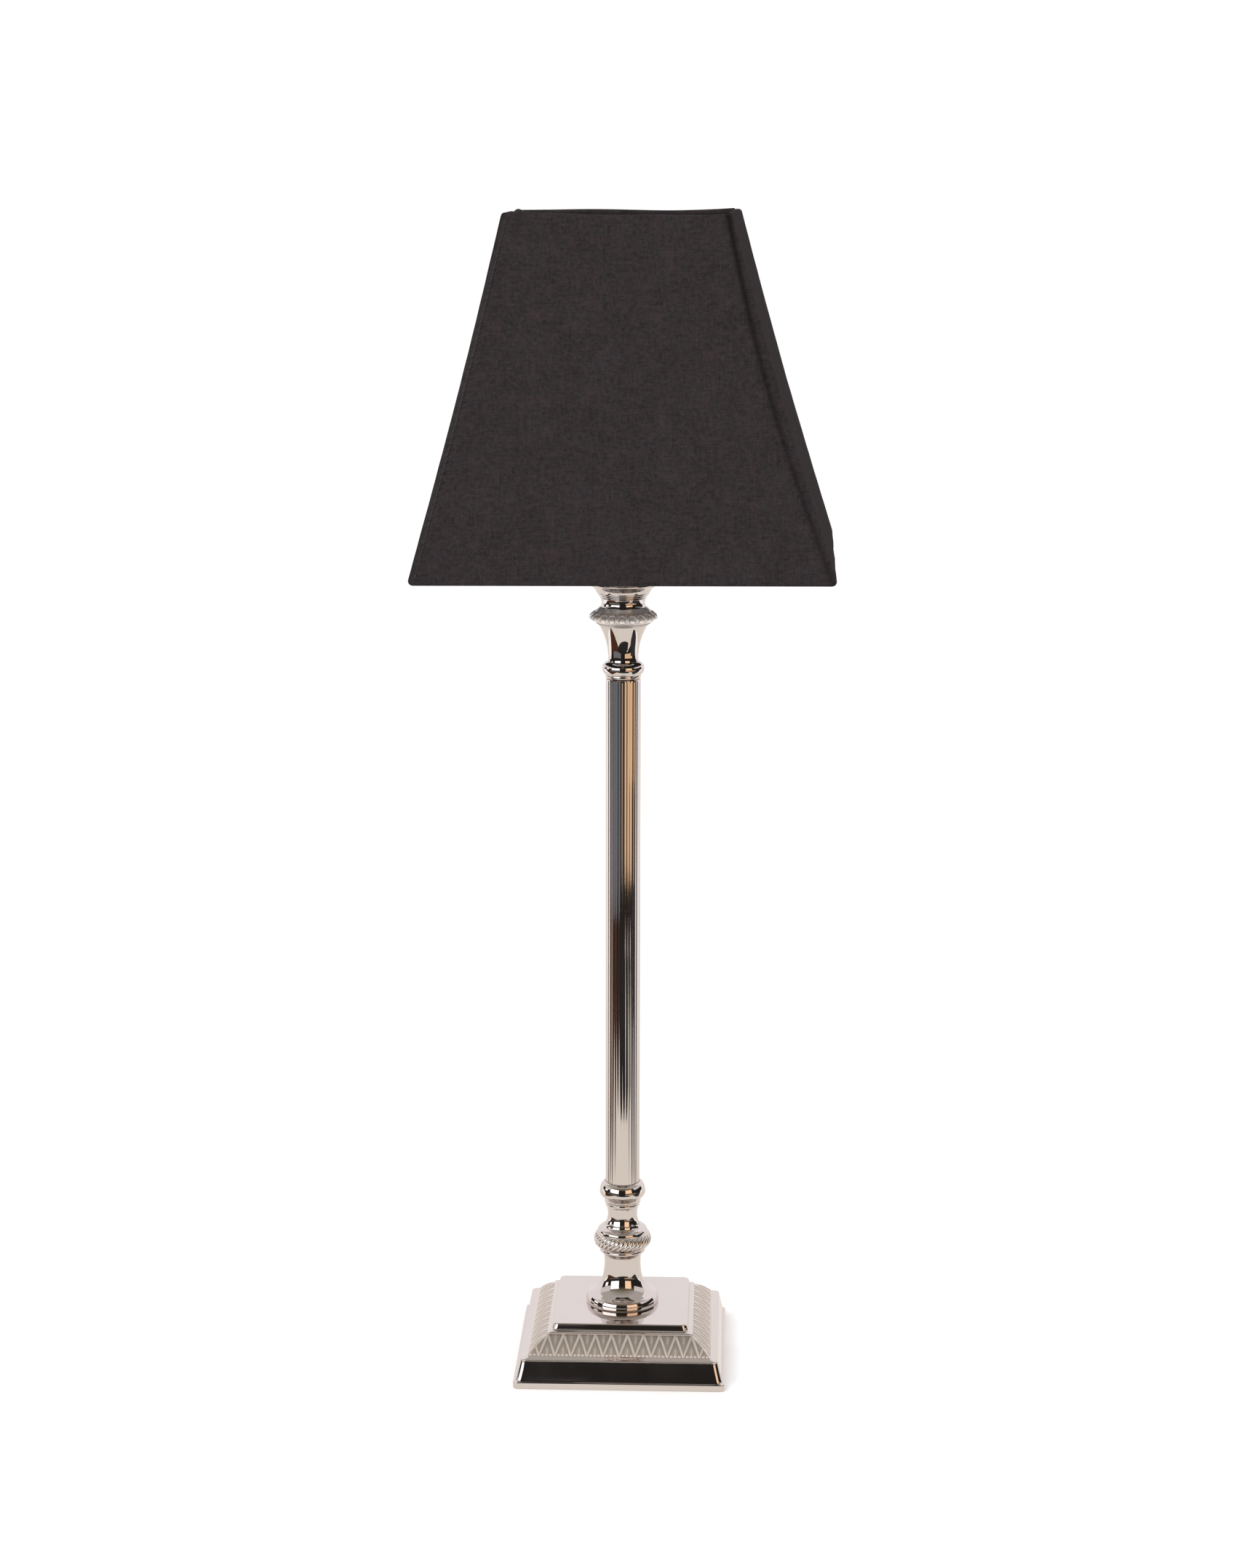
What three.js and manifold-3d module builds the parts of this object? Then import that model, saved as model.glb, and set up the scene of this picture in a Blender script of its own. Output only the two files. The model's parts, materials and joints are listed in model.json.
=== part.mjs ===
// Candlestick-style table lamp: stepped square nickel base, turned stem with a reeded column,
// E14 lampholder, tilting shade fitting and a square tapered fabric shade.
// Millimetres, +Z up, origin on the table under the middle of the base.
import * as THREE from 'three';
import { mergeVertices } from 'three/addons/utils/BufferGeometryUtils.js';
import Module from 'manifold-3d';

const wasm = await Module();
wasm.setup();

// ---- Driving dimensions ------------------------------------------------------------------

const GAP = 0.1; // between pieces stacked on the rod
const SEGMENTS = 20; // sides of a turned piece
const CURVE_STEPS = 3; // points along each curve of a profile

// Square base, as half widths across the flats
const LIP_HALF = 53.5;
const LIP_BOTTOM = 0.2;
const RECESS_HALF = 52.0; // recess under the base that takes the felt
const RECESS_TOP = 0.8;
const LIP_TOP = 3.75;
const OGEE_FOOT_HALF = 52.4;
const OGEE_HEAD_HALF = 50.0;
const OGEE_TOP = 14.0;
const BAND_FOOT_HALF = 47.3;
const BAND_FOOT = 14.8;
const BAND_HEAD_HALF = 37.0;
const BAND_HEAD = 23.4;
const PLATEAU_HALF = 33.94;
const PLATEAU_TOP = 27.8;
const WALL = 3.2;
const PLATE_HALF = 47.0;
const PLATE_BOTTOM = 1.3;
const PLATE_TOP = 2.9;
const FELT_HALF = 51.8;
const FELT_TOP = 1.0;
const BOSS_REACH = 42.0; // screw bosses, from the middle of the base along X and Y
const BOSS_RADIUS = 3.6;
const BOSS_BOTTOM = 3.1;
const CABLE_HEIGHT = 8.7;
const GROMMET_BORE = 3.2;
const GROMMET_NECK = 3.9;
const GROMMET_FLANGE = 4.7;

// Threaded rod that clamps the stem
const ROD_RADIUS = 5.0;
const ROD_BORE = 3.6;
const ROD_BOTTOM = 4.6;
const ROD_TOP = 409.4;
const STEM_BORE = 5.3;
const NUT_RADIUS = 8.08; // across the corners of a 14 mm hexagon

// Stem heights where one turned piece ends and the next begins
const KNOP_BOTTOM = 54.9;
const SPOOL_BOTTOM = 70.6;
const LOWER_COLLAR_BOTTOM = 81.7;
const COLUMN_BOTTOM = 90.2;
const UPPER_COLLAR_BOTTOM = 356.3;
const URN_BOTTOM = 364.4;
const LEAF_RING_BOTTOM = 383.2;
const PAN_BOTTOM = 391.9;
const PAN_FLOOR = 401.6;
const PAN_RIM = 404.2;
const COLUMN_RADIUS = 8.8;
const COLUMN_GROOVE = 8.5;
const COLUMN_BORE = 7.5;
const REEDS = 28;

// Lampholder and shade fitting
const HOLDER_BOTTOM = 401.8;
const CAP_TOP = 417.5;
const SHOULDER_TOP = 432.0;
const SKIRT_TOP = 451.8;
const THREAD_RADIUS = 13.9;
const GIMBAL_BOTTOM = 432.3;
const GIMBAL_TOP = 434.3;
const GIMBAL_HEIGHT = (GIMBAL_BOTTOM + GIMBAL_TOP) / 2;
const GIMBAL_OUTER = 19.0;
const RING_BORE = 14.3;
const EYE_NEAR = 21.5; // the arm's eye, along the pin from the lamp's axis
const EYE_FAR = 23.5;
const PIN_RADIUS = 1.05;
const EYE_BORE = 1.17;

// Shade, as half widths across the flats
const SHADE_BOTTOM = 416.4;
const SHADE_TOP = 584.4;
const SHADE_BOTTOM_HALF = 100.0;
const SHADE_TOP_HALF = 54.4;
const FABRIC = 0.9;
const LINING = 0.4;
const WIRE_RADIUS = 1.2;
const ARM_RADIUS = 1.3;
const SHADE_SLOPE = (SHADE_BOTTOM_HALF - SHADE_TOP_HALF) / (SHADE_TOP - SHADE_BOTTOM);

// ---- Materials ---------------------------------------------------------------------------

const finish = (color, roughness, metalness) => () =>
  new THREE.MeshStandardMaterial({ color, roughness, metalness });
const nickel = finish(0xcfc8c2, 0.08, 1);
const steel = finish(0x9a9a98, 0.4, 1);
const iron = finish(0x4b4845, 0.8, 0.6);
const brass = finish(0xc9a24e, 0.3, 1);
const felt = finish(0x1d1d1f, 1, 0);
const rubber = finish(0x161616, 0.7, 0);
const porcelain = finish(0xece8df, 0.3, 0);
const opal = finish(0xf4f1ea, 0.25, 0);
const solder = finish(0xa8a8a6, 0.35, 1);
const wireCoat = finish(0x1b1b1b, 0.6, 0);
const fabric = finish(0x38343a, 0.95, 0);
const lining = finish(0x141416, 0.85, 0);

// ---- Shape helpers -----------------------------------------------------------------------

// A profile runs upwards from the bore: each move is [kind, radius, height].
// line: straight. across: leaves level and arrives upright. upright: leaves upright and arrives
// level. ogee: leaves and arrives upright. cove: sweeps in and arrives upright. swell: bulges out by
// a fourth value, halfway along.
const CORNER = 0.5523; // cubic curve that follows a quarter ellipse
const COVE = 0.2; // share of its height at which a cove's two end tangents meet

function profile(bore, bottom, top, moves) {
  const path = new THREE.Path().moveTo(bore, bottom);
  for (const [kind, r, z, swell = 0] of moves) {
    const { x, y } = path.currentPoint;
    const reach = Math.hypot(r - x, z - y);
    const [out, up] = [(2 * swell * (z - y)) / reach, (2 * swell * (x - r)) / reach];
    if (kind === 'line') path.lineTo(r, z);
    if (kind === 'ogee') path.bezierCurveTo(x, (y + z) / 2, r, (y + z) / 2, r, z);
    if (kind === 'across') path.bezierCurveTo(x + (r - x) * CORNER, y, r, z + (y - z) * CORNER, r, z);
    if (kind === 'upright') path.bezierCurveTo(x, y + (z - y) * CORNER, r + (x - r) * CORNER, z, r, z);
    if (kind === 'cove') path.quadraticCurveTo(r, y + (z - y) * COVE, r, z);
    if (kind === 'swell') path.quadraticCurveTo((x + r) / 2 + out, (y + z) / 2 + up, r, z);
  }
  path.lineTo(bore, top);
  if (bore > 0) path.lineTo(bore, bottom);
  return path.getPoints(CURVE_STEPS);
}

function turned(bore, bottom, top, moves, segments = SEGMENTS) {
  return new THREE.LatheGeometry(profile(bore, bottom, top, moves), segments).rotateX(Math.PI / 2);
}

// A four-sided turning: radii in the moves are half widths across the flats.
function square(bore, bottom, top, moves) {
  const corner = Math.SQRT2;
  const points = profile(bore, bottom, top, moves).map((p) => new THREE.Vector2(p.x * corner, p.y));
  return new THREE.LatheGeometry(points, 4, Math.PI / 4).rotateX(Math.PI / 2);
}

function disc(bore, radius, bottom, top, segments = SEGMENTS) {
  return turned(bore, bottom, top, [['line', radius, bottom], ['line', radius, top]], segments);
}

function solid(geometry) {
  const merged = mergeVertices(geometry.deleteAttribute('normal').deleteAttribute('uv'), 1e-4);
  return new wasm.Manifold(new wasm.Mesh({
    numProp: 3,
    vertProperties: new Float32Array(merged.attributes.position.array),
    triVerts: new Uint32Array(merged.index.array),
  }));
}

function geometryOf(manifold) {
  const mesh = manifold.getMesh();
  const geometry = new THREE.BufferGeometry();
  geometry.setAttribute('position', new THREE.BufferAttribute(mesh.vertProperties, 3));
  geometry.setIndex(new THREE.BufferAttribute(mesh.triVerts, 1));
  return geometry;
}

function hexNut(bottom, top) {
  const outline = new THREE.Shape();
  for (let i = 0; i <= 6; i += 1) {
    const angle = (i * Math.PI) / 3;
    const at = [NUT_RADIUS * Math.cos(angle), NUT_RADIUS * Math.sin(angle)];
    if (i === 0) outline.moveTo(...at);
    else outline.lineTo(...at);
  }
  outline.holes.push(new THREE.Path().absarc(0, 0, ROD_RADIUS + GAP, 0, 2 * Math.PI, true));
  const options = { depth: top - bottom, bevelEnabled: false, curveSegments: 16 };
  return new THREE.ExtrudeGeometry(outline, options).translate(0, 0, bottom);
}

function rodBetween(from, to, radius, sides = 8) {
  const circle = new THREE.Shape().absarc(0, 0, radius, 0, 2 * Math.PI, false);
  const options = { steps: 1, extrudePath: new THREE.LineCurve3(from, to), curveSegments: sides };
  return new THREE.ExtrudeGeometry(circle, options);
}

const lamp = new THREE.Group();
function add(name, geometry, material) {
  const mesh = new THREE.Mesh(geometry, material());
  mesh.name = name;
  lamp.add(mesh);
}

// ---- Base --------------------------------------------------------------------------------

const corners = [[1, 1], [-1, 1], [-1, -1], [1, -1]];

function screwProfile(clearance) {
  const moves = [
    ['line', 3.0 + clearance, PLATE_BOTTOM + 0.1],
    ['line', 1.5 + clearance, PLATE_TOP - 0.1],
    ['line', 1.5 + clearance, 11.0 + clearance],
  ];
  return turned(0, PLATE_BOTTOM + 0.1 - clearance, 11.0 + clearance, moves, 10);
}

function baseCasting() {
  const outside = square(0, RECESS_TOP, PLATEAU_TOP, [
    ['line', RECESS_HALF, RECESS_TOP],
    ['line', RECESS_HALF, LIP_BOTTOM],
    ['line', LIP_HALF, LIP_BOTTOM],
    ['line', LIP_HALF, LIP_TOP],
    ['line', OGEE_FOOT_HALF, LIP_TOP],
    ['line', OGEE_HEAD_HALF, OGEE_TOP],
    ['line', OGEE_HEAD_HALF - 0.4, OGEE_TOP + 0.3],
    ['line', BAND_FOOT_HALF, BAND_FOOT],
    ['across', BAND_FOOT_HALF - 1.5, BAND_FOOT + 3.2],
    ['line', BAND_HEAD_HALF, BAND_HEAD],
    ['line', PLATEAU_HALF + 0.9, BAND_HEAD + 1.0],
    ['upright', PLATEAU_HALF, PLATEAU_TOP - 0.6],
    ['line', PLATEAU_HALF - 0.6, PLATEAU_TOP],
  ]);
  const cavity = square(0, LIP_BOTTOM - 1, PLATEAU_TOP - WALL, [
    ['line', PLATE_HALF + 0.5, LIP_BOTTOM - 1],
    ['line', PLATE_HALF + 0.5, BAND_FOOT - WALL],
    ['line', BAND_FOOT_HALF - WALL, BAND_FOOT - WALL],
    ['line', BAND_HEAD_HALF - WALL, BAND_HEAD - WALL],
    ['line', PLATEAU_HALF - WALL, PLATEAU_TOP - WALL],
  ]);
  let casting = solid(outside).subtract(solid(cavity));
  for (const [sx, sy] of corners) {
    const boss = disc(0, BOSS_RADIUS, BOSS_BOTTOM, BAND_FOOT - WALL + 1, 12);
    const at = [sx * BOSS_REACH, sy * BOSS_REACH, 0];
    casting = casting.add(solid(boss.translate(...at))).subtract(solid(screwProfile(0.12).translate(...at)));
  }
  const rodHole = disc(0, STEM_BORE, PLATEAU_TOP - WALL - 2, PLATEAU_TOP + 2);
  const cableHole = disc(0, GROMMET_NECK + 0.2, 44, 56, 16).rotateX(-Math.PI / 2).translate(0, 0, CABLE_HEIGHT);
  return geometryOf(casting.subtract(solid(rodHole)).subtract(solid(cableHole)));
}

function baseWeight() {
  const block = square(0, 11.5, 23.9, [
    ['line', 35.5, 11.5],
    ['line', 35.5, 17.0],
    ['line', 29.0, 23.9],
  ]);
  return geometryOf(solid(block).subtract(solid(disc(0, STEM_BORE, 10, 26))));
}

function bottomPlate() {
  let plate = solid(square(0, PLATE_BOTTOM, PLATE_TOP, [
    ['line', PLATE_HALF, PLATE_BOTTOM],
    ['line', PLATE_HALF, PLATE_TOP],
  ]));
  for (const [sx, sy] of corners) {
    const at = [sx * BOSS_REACH, sy * BOSS_REACH, 0];
    plate = plate.subtract(solid(screwProfile(0.12).translate(...at)));
  }
  return geometryOf(plate);
}

function grommet() {
  const ring = turned(GROMMET_BORE, 46.6, 54.3, [
    ['line', GROMMET_NECK, 46.6],
    ['line', GROMMET_NECK, 52.8],
    ['line', GROMMET_FLANGE, 52.8],
    ['upright', GROMMET_FLANGE - 0.8, 54.3],
  ], 16);
  return ring.rotateX(-Math.PI / 2).translate(0, 0, CABLE_HEIGHT);
}

add('felt_pad', square(0, 0, FELT_TOP - 0.3, [['line', FELT_HALF, 0], ['line', FELT_HALF, FELT_TOP - 0.3]]), felt);
add('base_bottom_plate', bottomPlate(), steel);
corners.forEach(([sx, sy], i) => {
  const screw = screwProfile(0).translate(sx * BOSS_REACH, sy * BOSS_REACH, 0);
  add(`bottom_plate_screw_${i + 1}`, screw, steel);
});
add('base_weight', baseWeight(), iron);
add('base_casting', baseCasting(), nickel);
add('cable_grommet', grommet(), rubber);

// ---- Rod and its fastenings --------------------------------------------------------------

add('tie_rod', disc(ROD_BORE, ROD_RADIUS, ROD_BOTTOM, ROD_TOP, 16), steel);
add('bottom_nut', hexNut(5.4, 9.4), steel);
add('bottom_lock_washer', disc(STEM_BORE, 7.8, 9.5, 10.3, 16), steel);
add('bottom_plain_washer', disc(STEM_BORE, 10.5, 10.4, 11.4, 16), steel);
add('lower_tube_bush', disc(STEM_BORE, COLUMN_BORE - 0.15, 96, 102, 16), brass);
add('upper_tube_bush', disc(STEM_BORE, COLUMN_BORE - 0.15, 345, 351, 16), brass);

// ---- Turned stem -------------------------------------------------------------------------

function stemPiece(bottom, top, moves) {
  return turned(STEM_BORE, bottom, top - GAP, moves);
}

const footVase = stemPiece(PLATEAU_TOP + GAP, KNOP_BOTTOM, [
  ['line', 18.6, PLATEAU_TOP + GAP],
  ['swell', 17.7, 32.5, 0.5],
  ['line', 16.6, 32.9],
  ['cove', 9.45, 48.9],
  ['line', 9.6, 52.8],
  ['swell', 10.8, KNOP_BOTTOM - GAP, -0.35],
]);
const ropeKnop = stemPiece(KNOP_BOTTOM, SPOOL_BOTTOM, [
  ['line', 11.0, KNOP_BOTTOM],
  ['swell', 11.7, 57.0, 0.5],
  ['line', 14.0, 59.3],
  ['swell', 13.3, 65.4, 1.05],
  ['swell', 9.75, 68.6, 1.15],
  ['line', 8.9, SPOOL_BOTTOM - GAP],
]);
const neckSpool = stemPiece(SPOOL_BOTTOM, LOWER_COLLAR_BOTTOM, [
  ['line', 8.9, SPOOL_BOTTOM],
  ['swell', 7.75, 75.8, -0.35],
  ['swell', 8.9, LOWER_COLLAR_BOTTOM - GAP, -0.2],
]);
// The collar is a cup: the column tube stands in it.
const lowerCollar = turned(STEM_BORE, LOWER_COLLAR_BOTTOM, COLUMN_BOTTOM - GAP, [
  ['line', 9.1, LOWER_COLLAR_BOTTOM],
  ['line', 9.4, 82.7],
  ['ogee', 11.8, 87.2],
  ['upright', 9.1, 93.1],
  ['line', COLUMN_RADIUS + GAP, 93.2],
  ['line', COLUMN_RADIUS + GAP, COLUMN_BOTTOM - GAP],
]);
const upperCollar = stemPiece(UPPER_COLLAR_BOTTOM, URN_BOTTOM, [
  ['line', 8.9, UPPER_COLLAR_BOTTOM],
  ['line', 9.0, 357.8],
  ['swell', 10.6, 361.0, 0.42],
  ['swell', 8.5, URN_BOTTOM - GAP, 0.62],
]);
const urn = stemPiece(URN_BOTTOM, LEAF_RING_BOTTOM, [
  ['line', 7.7, URN_BOTTOM],
  ['line', 7.6, 367.6],
  ['swell', 12.8, LEAF_RING_BOTTOM - GAP, -1.1],
]);
const leafRing = stemPiece(LEAF_RING_BOTTOM, PAN_BOTTOM, [
  ['line', 12.75, LEAF_RING_BOTTOM],
  ['line', 16.0, 385.7],
  ['swell', 15.8, 388.1, 0.7],
  ['line', 11.5, PAN_BOTTOM - GAP],
]);
const dripPan = turned(STEM_BORE, PAN_BOTTOM, PAN_FLOOR, [
  ['line', 11.5, PAN_BOTTOM],
  ['swell', 11.4, 396.0, -0.38],
  ['line', 11.95, 396.9],
  ['line', 13.5, 399.1],
  ['swell', 16.9, 402.5, -0.42],
  ['line', 17.5, 403.1],
  ['line', 17.5, PAN_RIM],
  ['line', 16.9, PAN_RIM],
  ['upright', 14.0, PAN_FLOOR],
]);

// Reeded tube: one point on each rib and one in each groove.
function reededColumn() {
  const outline = new THREE.Shape();
  for (let i = 0; i < 2 * REEDS; i += 1) {
    const r = i % 2 ? COLUMN_GROOVE : COLUMN_RADIUS;
    const angle = (i * Math.PI) / REEDS;
    const at = [r * Math.cos(angle), r * Math.sin(angle)];
    if (i === 0) outline.moveTo(...at);
    else outline.lineTo(...at);
  }
  outline.closePath();
  outline.holes.push(new THREE.Path().absarc(0, 0, COLUMN_BORE, 0, 2 * Math.PI, true));
  const options = {
    depth: UPPER_COLLAR_BOTTOM - GAP - COLUMN_BOTTOM,
    bevelEnabled: false,
    curveSegments: SEGMENTS,
  };
  return new THREE.ExtrudeGeometry(outline, options).translate(0, 0, COLUMN_BOTTOM);
}

add('foot_vase', footVase, nickel);
add('rope_knop', ropeKnop, nickel);
add('neck_spool', neckSpool, nickel);
add('lower_collar', lowerCollar, nickel);
add('column_tube', reededColumn(), nickel);
add('upper_collar', upperCollar, nickel);
add('urn', urn, nickel);
add('leaf_ring', leafRing, nickel);
add('drip_pan', dripPan, nickel);

// ---- Lampholder --------------------------------------------------------------------------

const holderCap = turned(STEM_BORE, HOLDER_BOTTOM, HOLDER_BOTTOM + 1.2, [
  ['line', 10.0, HOLDER_BOTTOM],
  ['across', 13.0, 405.8],
  ['line', 13.0, CAP_TOP],
  ['line', 12.0, CAP_TOP],
  ['line', 12.0, 405.8],
  ['upright', 10.0, HOLDER_BOTTOM + 1.2],
]);
const holderSkirt = turned(11.6, CAP_TOP + GAP, 450.2, [
  ['line', 13.4, CAP_TOP + GAP],
  ['line', 13.4, 428.6],
  ['upright', 17.0, 430.0],
  ['line', 17.0, SHOULDER_TOP],
  ['line', THREAD_RADIUS, SHOULDER_TOP],
  ['line', THREAD_RADIUS, SKIRT_TOP - 0.8],
  ['line', THREAD_RADIUS - 0.8, SKIRT_TOP],
  ['line', 8.8, SKIRT_TOP],
  ['line', 8.8, 450.2],
]);
const holderCore = turned(0, 412.2, 424.6, [
  ['line', 11.2, 412.2],
  ['line', 11.2, 449.6],
  ['line', 8.15, 449.6],
  ['line', 8.15, 424.6],
]);
const screwShell = disc(7.35, 8.0, 425.4, 448.6);

function centreContact() {
  const strip = new THREE.Shape([
    [-6.6, 424.8], [-2.4, 424.8], [0.6, 426.0], [2.6, 426.0], [2.6, 426.4], [0.4, 426.4],
    [-2.6, 425.2], [-6.6, 425.2],
  ].map(([x, z]) => new THREE.Vector2(x, z)));
  const options = { depth: 3, bevelEnabled: false };
  return new THREE.ExtrudeGeometry(strip, options).translate(0, 0, -1.5).rotateX(Math.PI / 2);
}

add('top_washer', disc(STEM_BORE, 8.6, HOLDER_BOTTOM + 1.4, HOLDER_BOTTOM + 2.2, 16), steel);
add('top_nut', hexNut(HOLDER_BOTTOM + 2.4, HOLDER_BOTTOM + 5.9), steel);
add('lampholder_cap', holderCap, nickel);
add('lampholder_skirt', holderSkirt, nickel);
add('lampholder_core', holderCore, porcelain);
add('screw_shell', screwShell, brass);
add('centre_contact', centreContact(), brass);
add('terminal_live', new THREE.BoxGeometry(4.6, 4.6, 3.4).translate(8.4, 0, 410.3), brass);
add('terminal_neutral', new THREE.BoxGeometry(4.6, 4.6, 3.4).translate(-8.4, 0, 410.3), brass);

// ---- Ring that clamps the shade fitting on the skirt -------------------------------------

const ringNut = turned(RING_BORE, 435.7, 445.7, [
  ['line', 17.4, 435.7],
  ['line', 17.4, 437.0],
  ['line', 16.2, 437.6],
  ['line', 16.2, 445.0],
  ['line', 15.5, 445.7],
]);
add('shade_ring_washer', disc(RING_BORE, 17.6, 434.6, 435.4), steel);
add('shade_ring_nut', ringNut, nickel);

// ---- Bulb --------------------------------------------------------------------------------

const bulbContact = turned(0, 426.7, 428.0, [['across', 2.4, 427.4], ['line', 2.4, 428.0]], 16);
const bulbInsulator = turned(0, 428.1, 430.9, [['line', 3.4, 428.1], ['line', 6.2, 430.9]], 16);
const bulbCap = turned(6.3, 431.0, 450.0, [
  ['line', 6.5, 431.0],
  ['line', 6.95, 432.2],
  ['line', 6.95, 450.0],
]);
// Thin glass, open at the bottom inside the cap.
const bulbGlass = turned(5.0, 444.0, 450.6, [
  ['line', 6.1, 444.0],
  ['line', 6.1, 450.6],
  ['line', 7.3, 452.4],
  ['ogee', 17.5, 482.0],
  ['ogee', 8.0, 512.0],
  ['upright', 0, 527.0],
  ['line', 0, 526.0],
  ['across', 7.0, 511.5],
  ['ogee', 16.5, 482.0],
  ['ogee', 6.3, 452.4],
]);
add('bulb_contact', bulbContact, solder);
add('bulb_insulator', bulbInsulator, rubber);
add('bulb_cap', bulbCap, brass);
add('bulb_glass', bulbGlass, opal);

// ---- Tilting shade fitting ---------------------------------------------------------------

// A pin stands out of the gimbal ring along Y, with a rivet head beyond the arm's eye.
function pin(side) {
  const stud = turned(0, GIMBAL_OUTER + GAP, 25.0, [
    ['line', PIN_RADIUS - 0.1, GIMBAL_OUTER + GAP],
    ['line', PIN_RADIUS - 0.1, GIMBAL_OUTER + 0.6],
    ['line', PIN_RADIUS, GIMBAL_OUTER + 0.6],
    ['line', PIN_RADIUS, EYE_FAR + 0.2],
    ['line', 1.5, EYE_FAR + 0.2],
    ['upright', 1.0, 25.0],
  ], 12);
  const toward = stud.rotateX(-Math.PI / 2);
  if (side < 0) toward.rotateZ(Math.PI);
  return toward.translate(0, 0, GIMBAL_HEIGHT);
}

// An arm is an eye on the pin, and a wire that drops from it to the bottom wire of the shade.
const ARM_KNEE = 34.0;
const wireHalf = (z) => SHADE_BOTTOM_HALF - SHADE_SLOPE * (z - SHADE_BOTTOM) - FABRIC - 0.5 - WIRE_RADIUS;
const BOTTOM_WIRE = SHADE_BOTTOM + 2.2;
const TOP_WIRE = SHADE_TOP - 2.2;

function arm(side) {
  const at = (y, z) => new THREE.Vector3(0, y, z);
  const end = wireHalf(BOTTOM_WIRE) - WIRE_RADIUS - 0.3;
  const eye = disc(EYE_BORE, 3.0, EYE_NEAR, EYE_FAR, 16).rotateX(-Math.PI / 2).translate(0, 0, GIMBAL_HEIGHT);
  const reach = rodBetween(at(EYE_NEAR + 0.2, GIMBAL_HEIGHT - 2.6), at(ARM_KNEE, GIMBAL_HEIGHT - 2.6), 0.8, 3);
  const drop = rodBetween(at(ARM_KNEE - 0.8, GIMBAL_HEIGHT - 2.2), at(end, BOTTOM_WIRE), ARM_RADIUS, 3);
  const whole = geometryOf(solid(eye).add(solid(reach)).add(solid(drop)));
  return side < 0 ? whole.rotateZ(Math.PI) : whole;
}

add('gimbal_ring', disc(RING_BORE, GIMBAL_OUTER, GIMBAL_BOTTOM, GIMBAL_TOP), nickel);
add('gimbal_pin_rear', pin(1), steel);
add('gimbal_pin_front', pin(-1), steel);
add('shade_arm_rear', arm(1), nickel);
add('shade_arm_front', arm(-1), nickel);

// ---- Shade -------------------------------------------------------------------------------

function squareWire(z) {
  const half = wireHalf(z);
  const ring = [];
  for (let i = 0; i <= 8; i += 1) {
    const angle = (i * Math.PI) / 4;
    ring.push(new THREE.Vector2(
      (half + WIRE_RADIUS * Math.cos(angle)) * Math.SQRT2,
      z + WIRE_RADIUS * Math.sin(angle),
    ));
  }
  return new THREE.LatheGeometry(ring, 4, Math.PI / 4).rotateX(Math.PI / 2);
}

function cornerWire([sx, sy]) {
  const inset = WIRE_RADIUS + 0.4;
  const at = (z) => new THREE.Vector3(sx * (wireHalf(z) - 0.2), sy * (wireHalf(z) - 0.2), z);
  return rodBetween(at(BOTTOM_WIRE + inset), at(TOP_WIRE - inset), WIRE_RADIUS, 3);
}

// A square tapered shell between two heights, its outer face set in from the shade's.
function shellOf(inset, thickness, bottom, top) {
  const half = (z) => SHADE_BOTTOM_HALF - SHADE_SLOPE * (z - SHADE_BOTTOM) - inset;
  const points = [
    [half(bottom) - thickness, bottom],
    [half(bottom), bottom],
    [half(top), top],
    [half(top) - thickness, top],
    [half(bottom) - thickness, bottom],
  ].map(([r, z]) => new THREE.Vector2(r * Math.SQRT2, z));
  return new THREE.LatheGeometry(points, 4, Math.PI / 4).rotateX(Math.PI / 2);
}

function fabricPanel(quarterTurns) {
  const reach = SHADE_BOTTOM_HALF + 20;
  const mitreGap = 0.15;
  const wedge = new THREE.Shape();
  wedge.moveTo(mitreGap, 0);
  wedge.lineTo(reach + mitreGap, reach);
  wedge.lineTo(reach + mitreGap, -reach);
  wedge.closePath();
  const height = SHADE_TOP - SHADE_BOTTOM + 20;
  const prism = new THREE.ExtrudeGeometry(wedge, { depth: height, bevelEnabled: false });
  const cutter = prism.translate(0, 0, SHADE_BOTTOM - 10).rotateZ((quarterTurns * Math.PI) / 2);
  return geometryOf(solid(shellOf(0, FABRIC, SHADE_BOTTOM, SHADE_TOP)).intersect(solid(cutter)));
}

add('shade_bottom_wire', squareWire(BOTTOM_WIRE), wireCoat);
add('shade_top_wire', squareWire(TOP_WIRE), wireCoat);
corners.forEach((corner, i) => add(`shade_corner_wire_${i + 1}`, cornerWire(corner), wireCoat));
['right', 'rear', 'left', 'front'].forEach((side, i) => add(`shade_panel_${side}`, fabricPanel(i), fabric));
const LINING_INSET = FABRIC + 2 * WIRE_RADIUS + 1.4;
add('shade_lining', shellOf(LINING_INSET, LINING, SHADE_BOTTOM + 5, SHADE_TOP - 4), lining);

export default lamp;
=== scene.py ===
"""Looks of the candlestick-style table lamp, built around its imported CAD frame.

Metres in Blender; the shape functions below take millimetres, as the drawing does.
"""

import json
import math
import random

import bmesh
import bpy
import numpy as np
from mathutils import Matrix, Vector, noise


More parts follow.
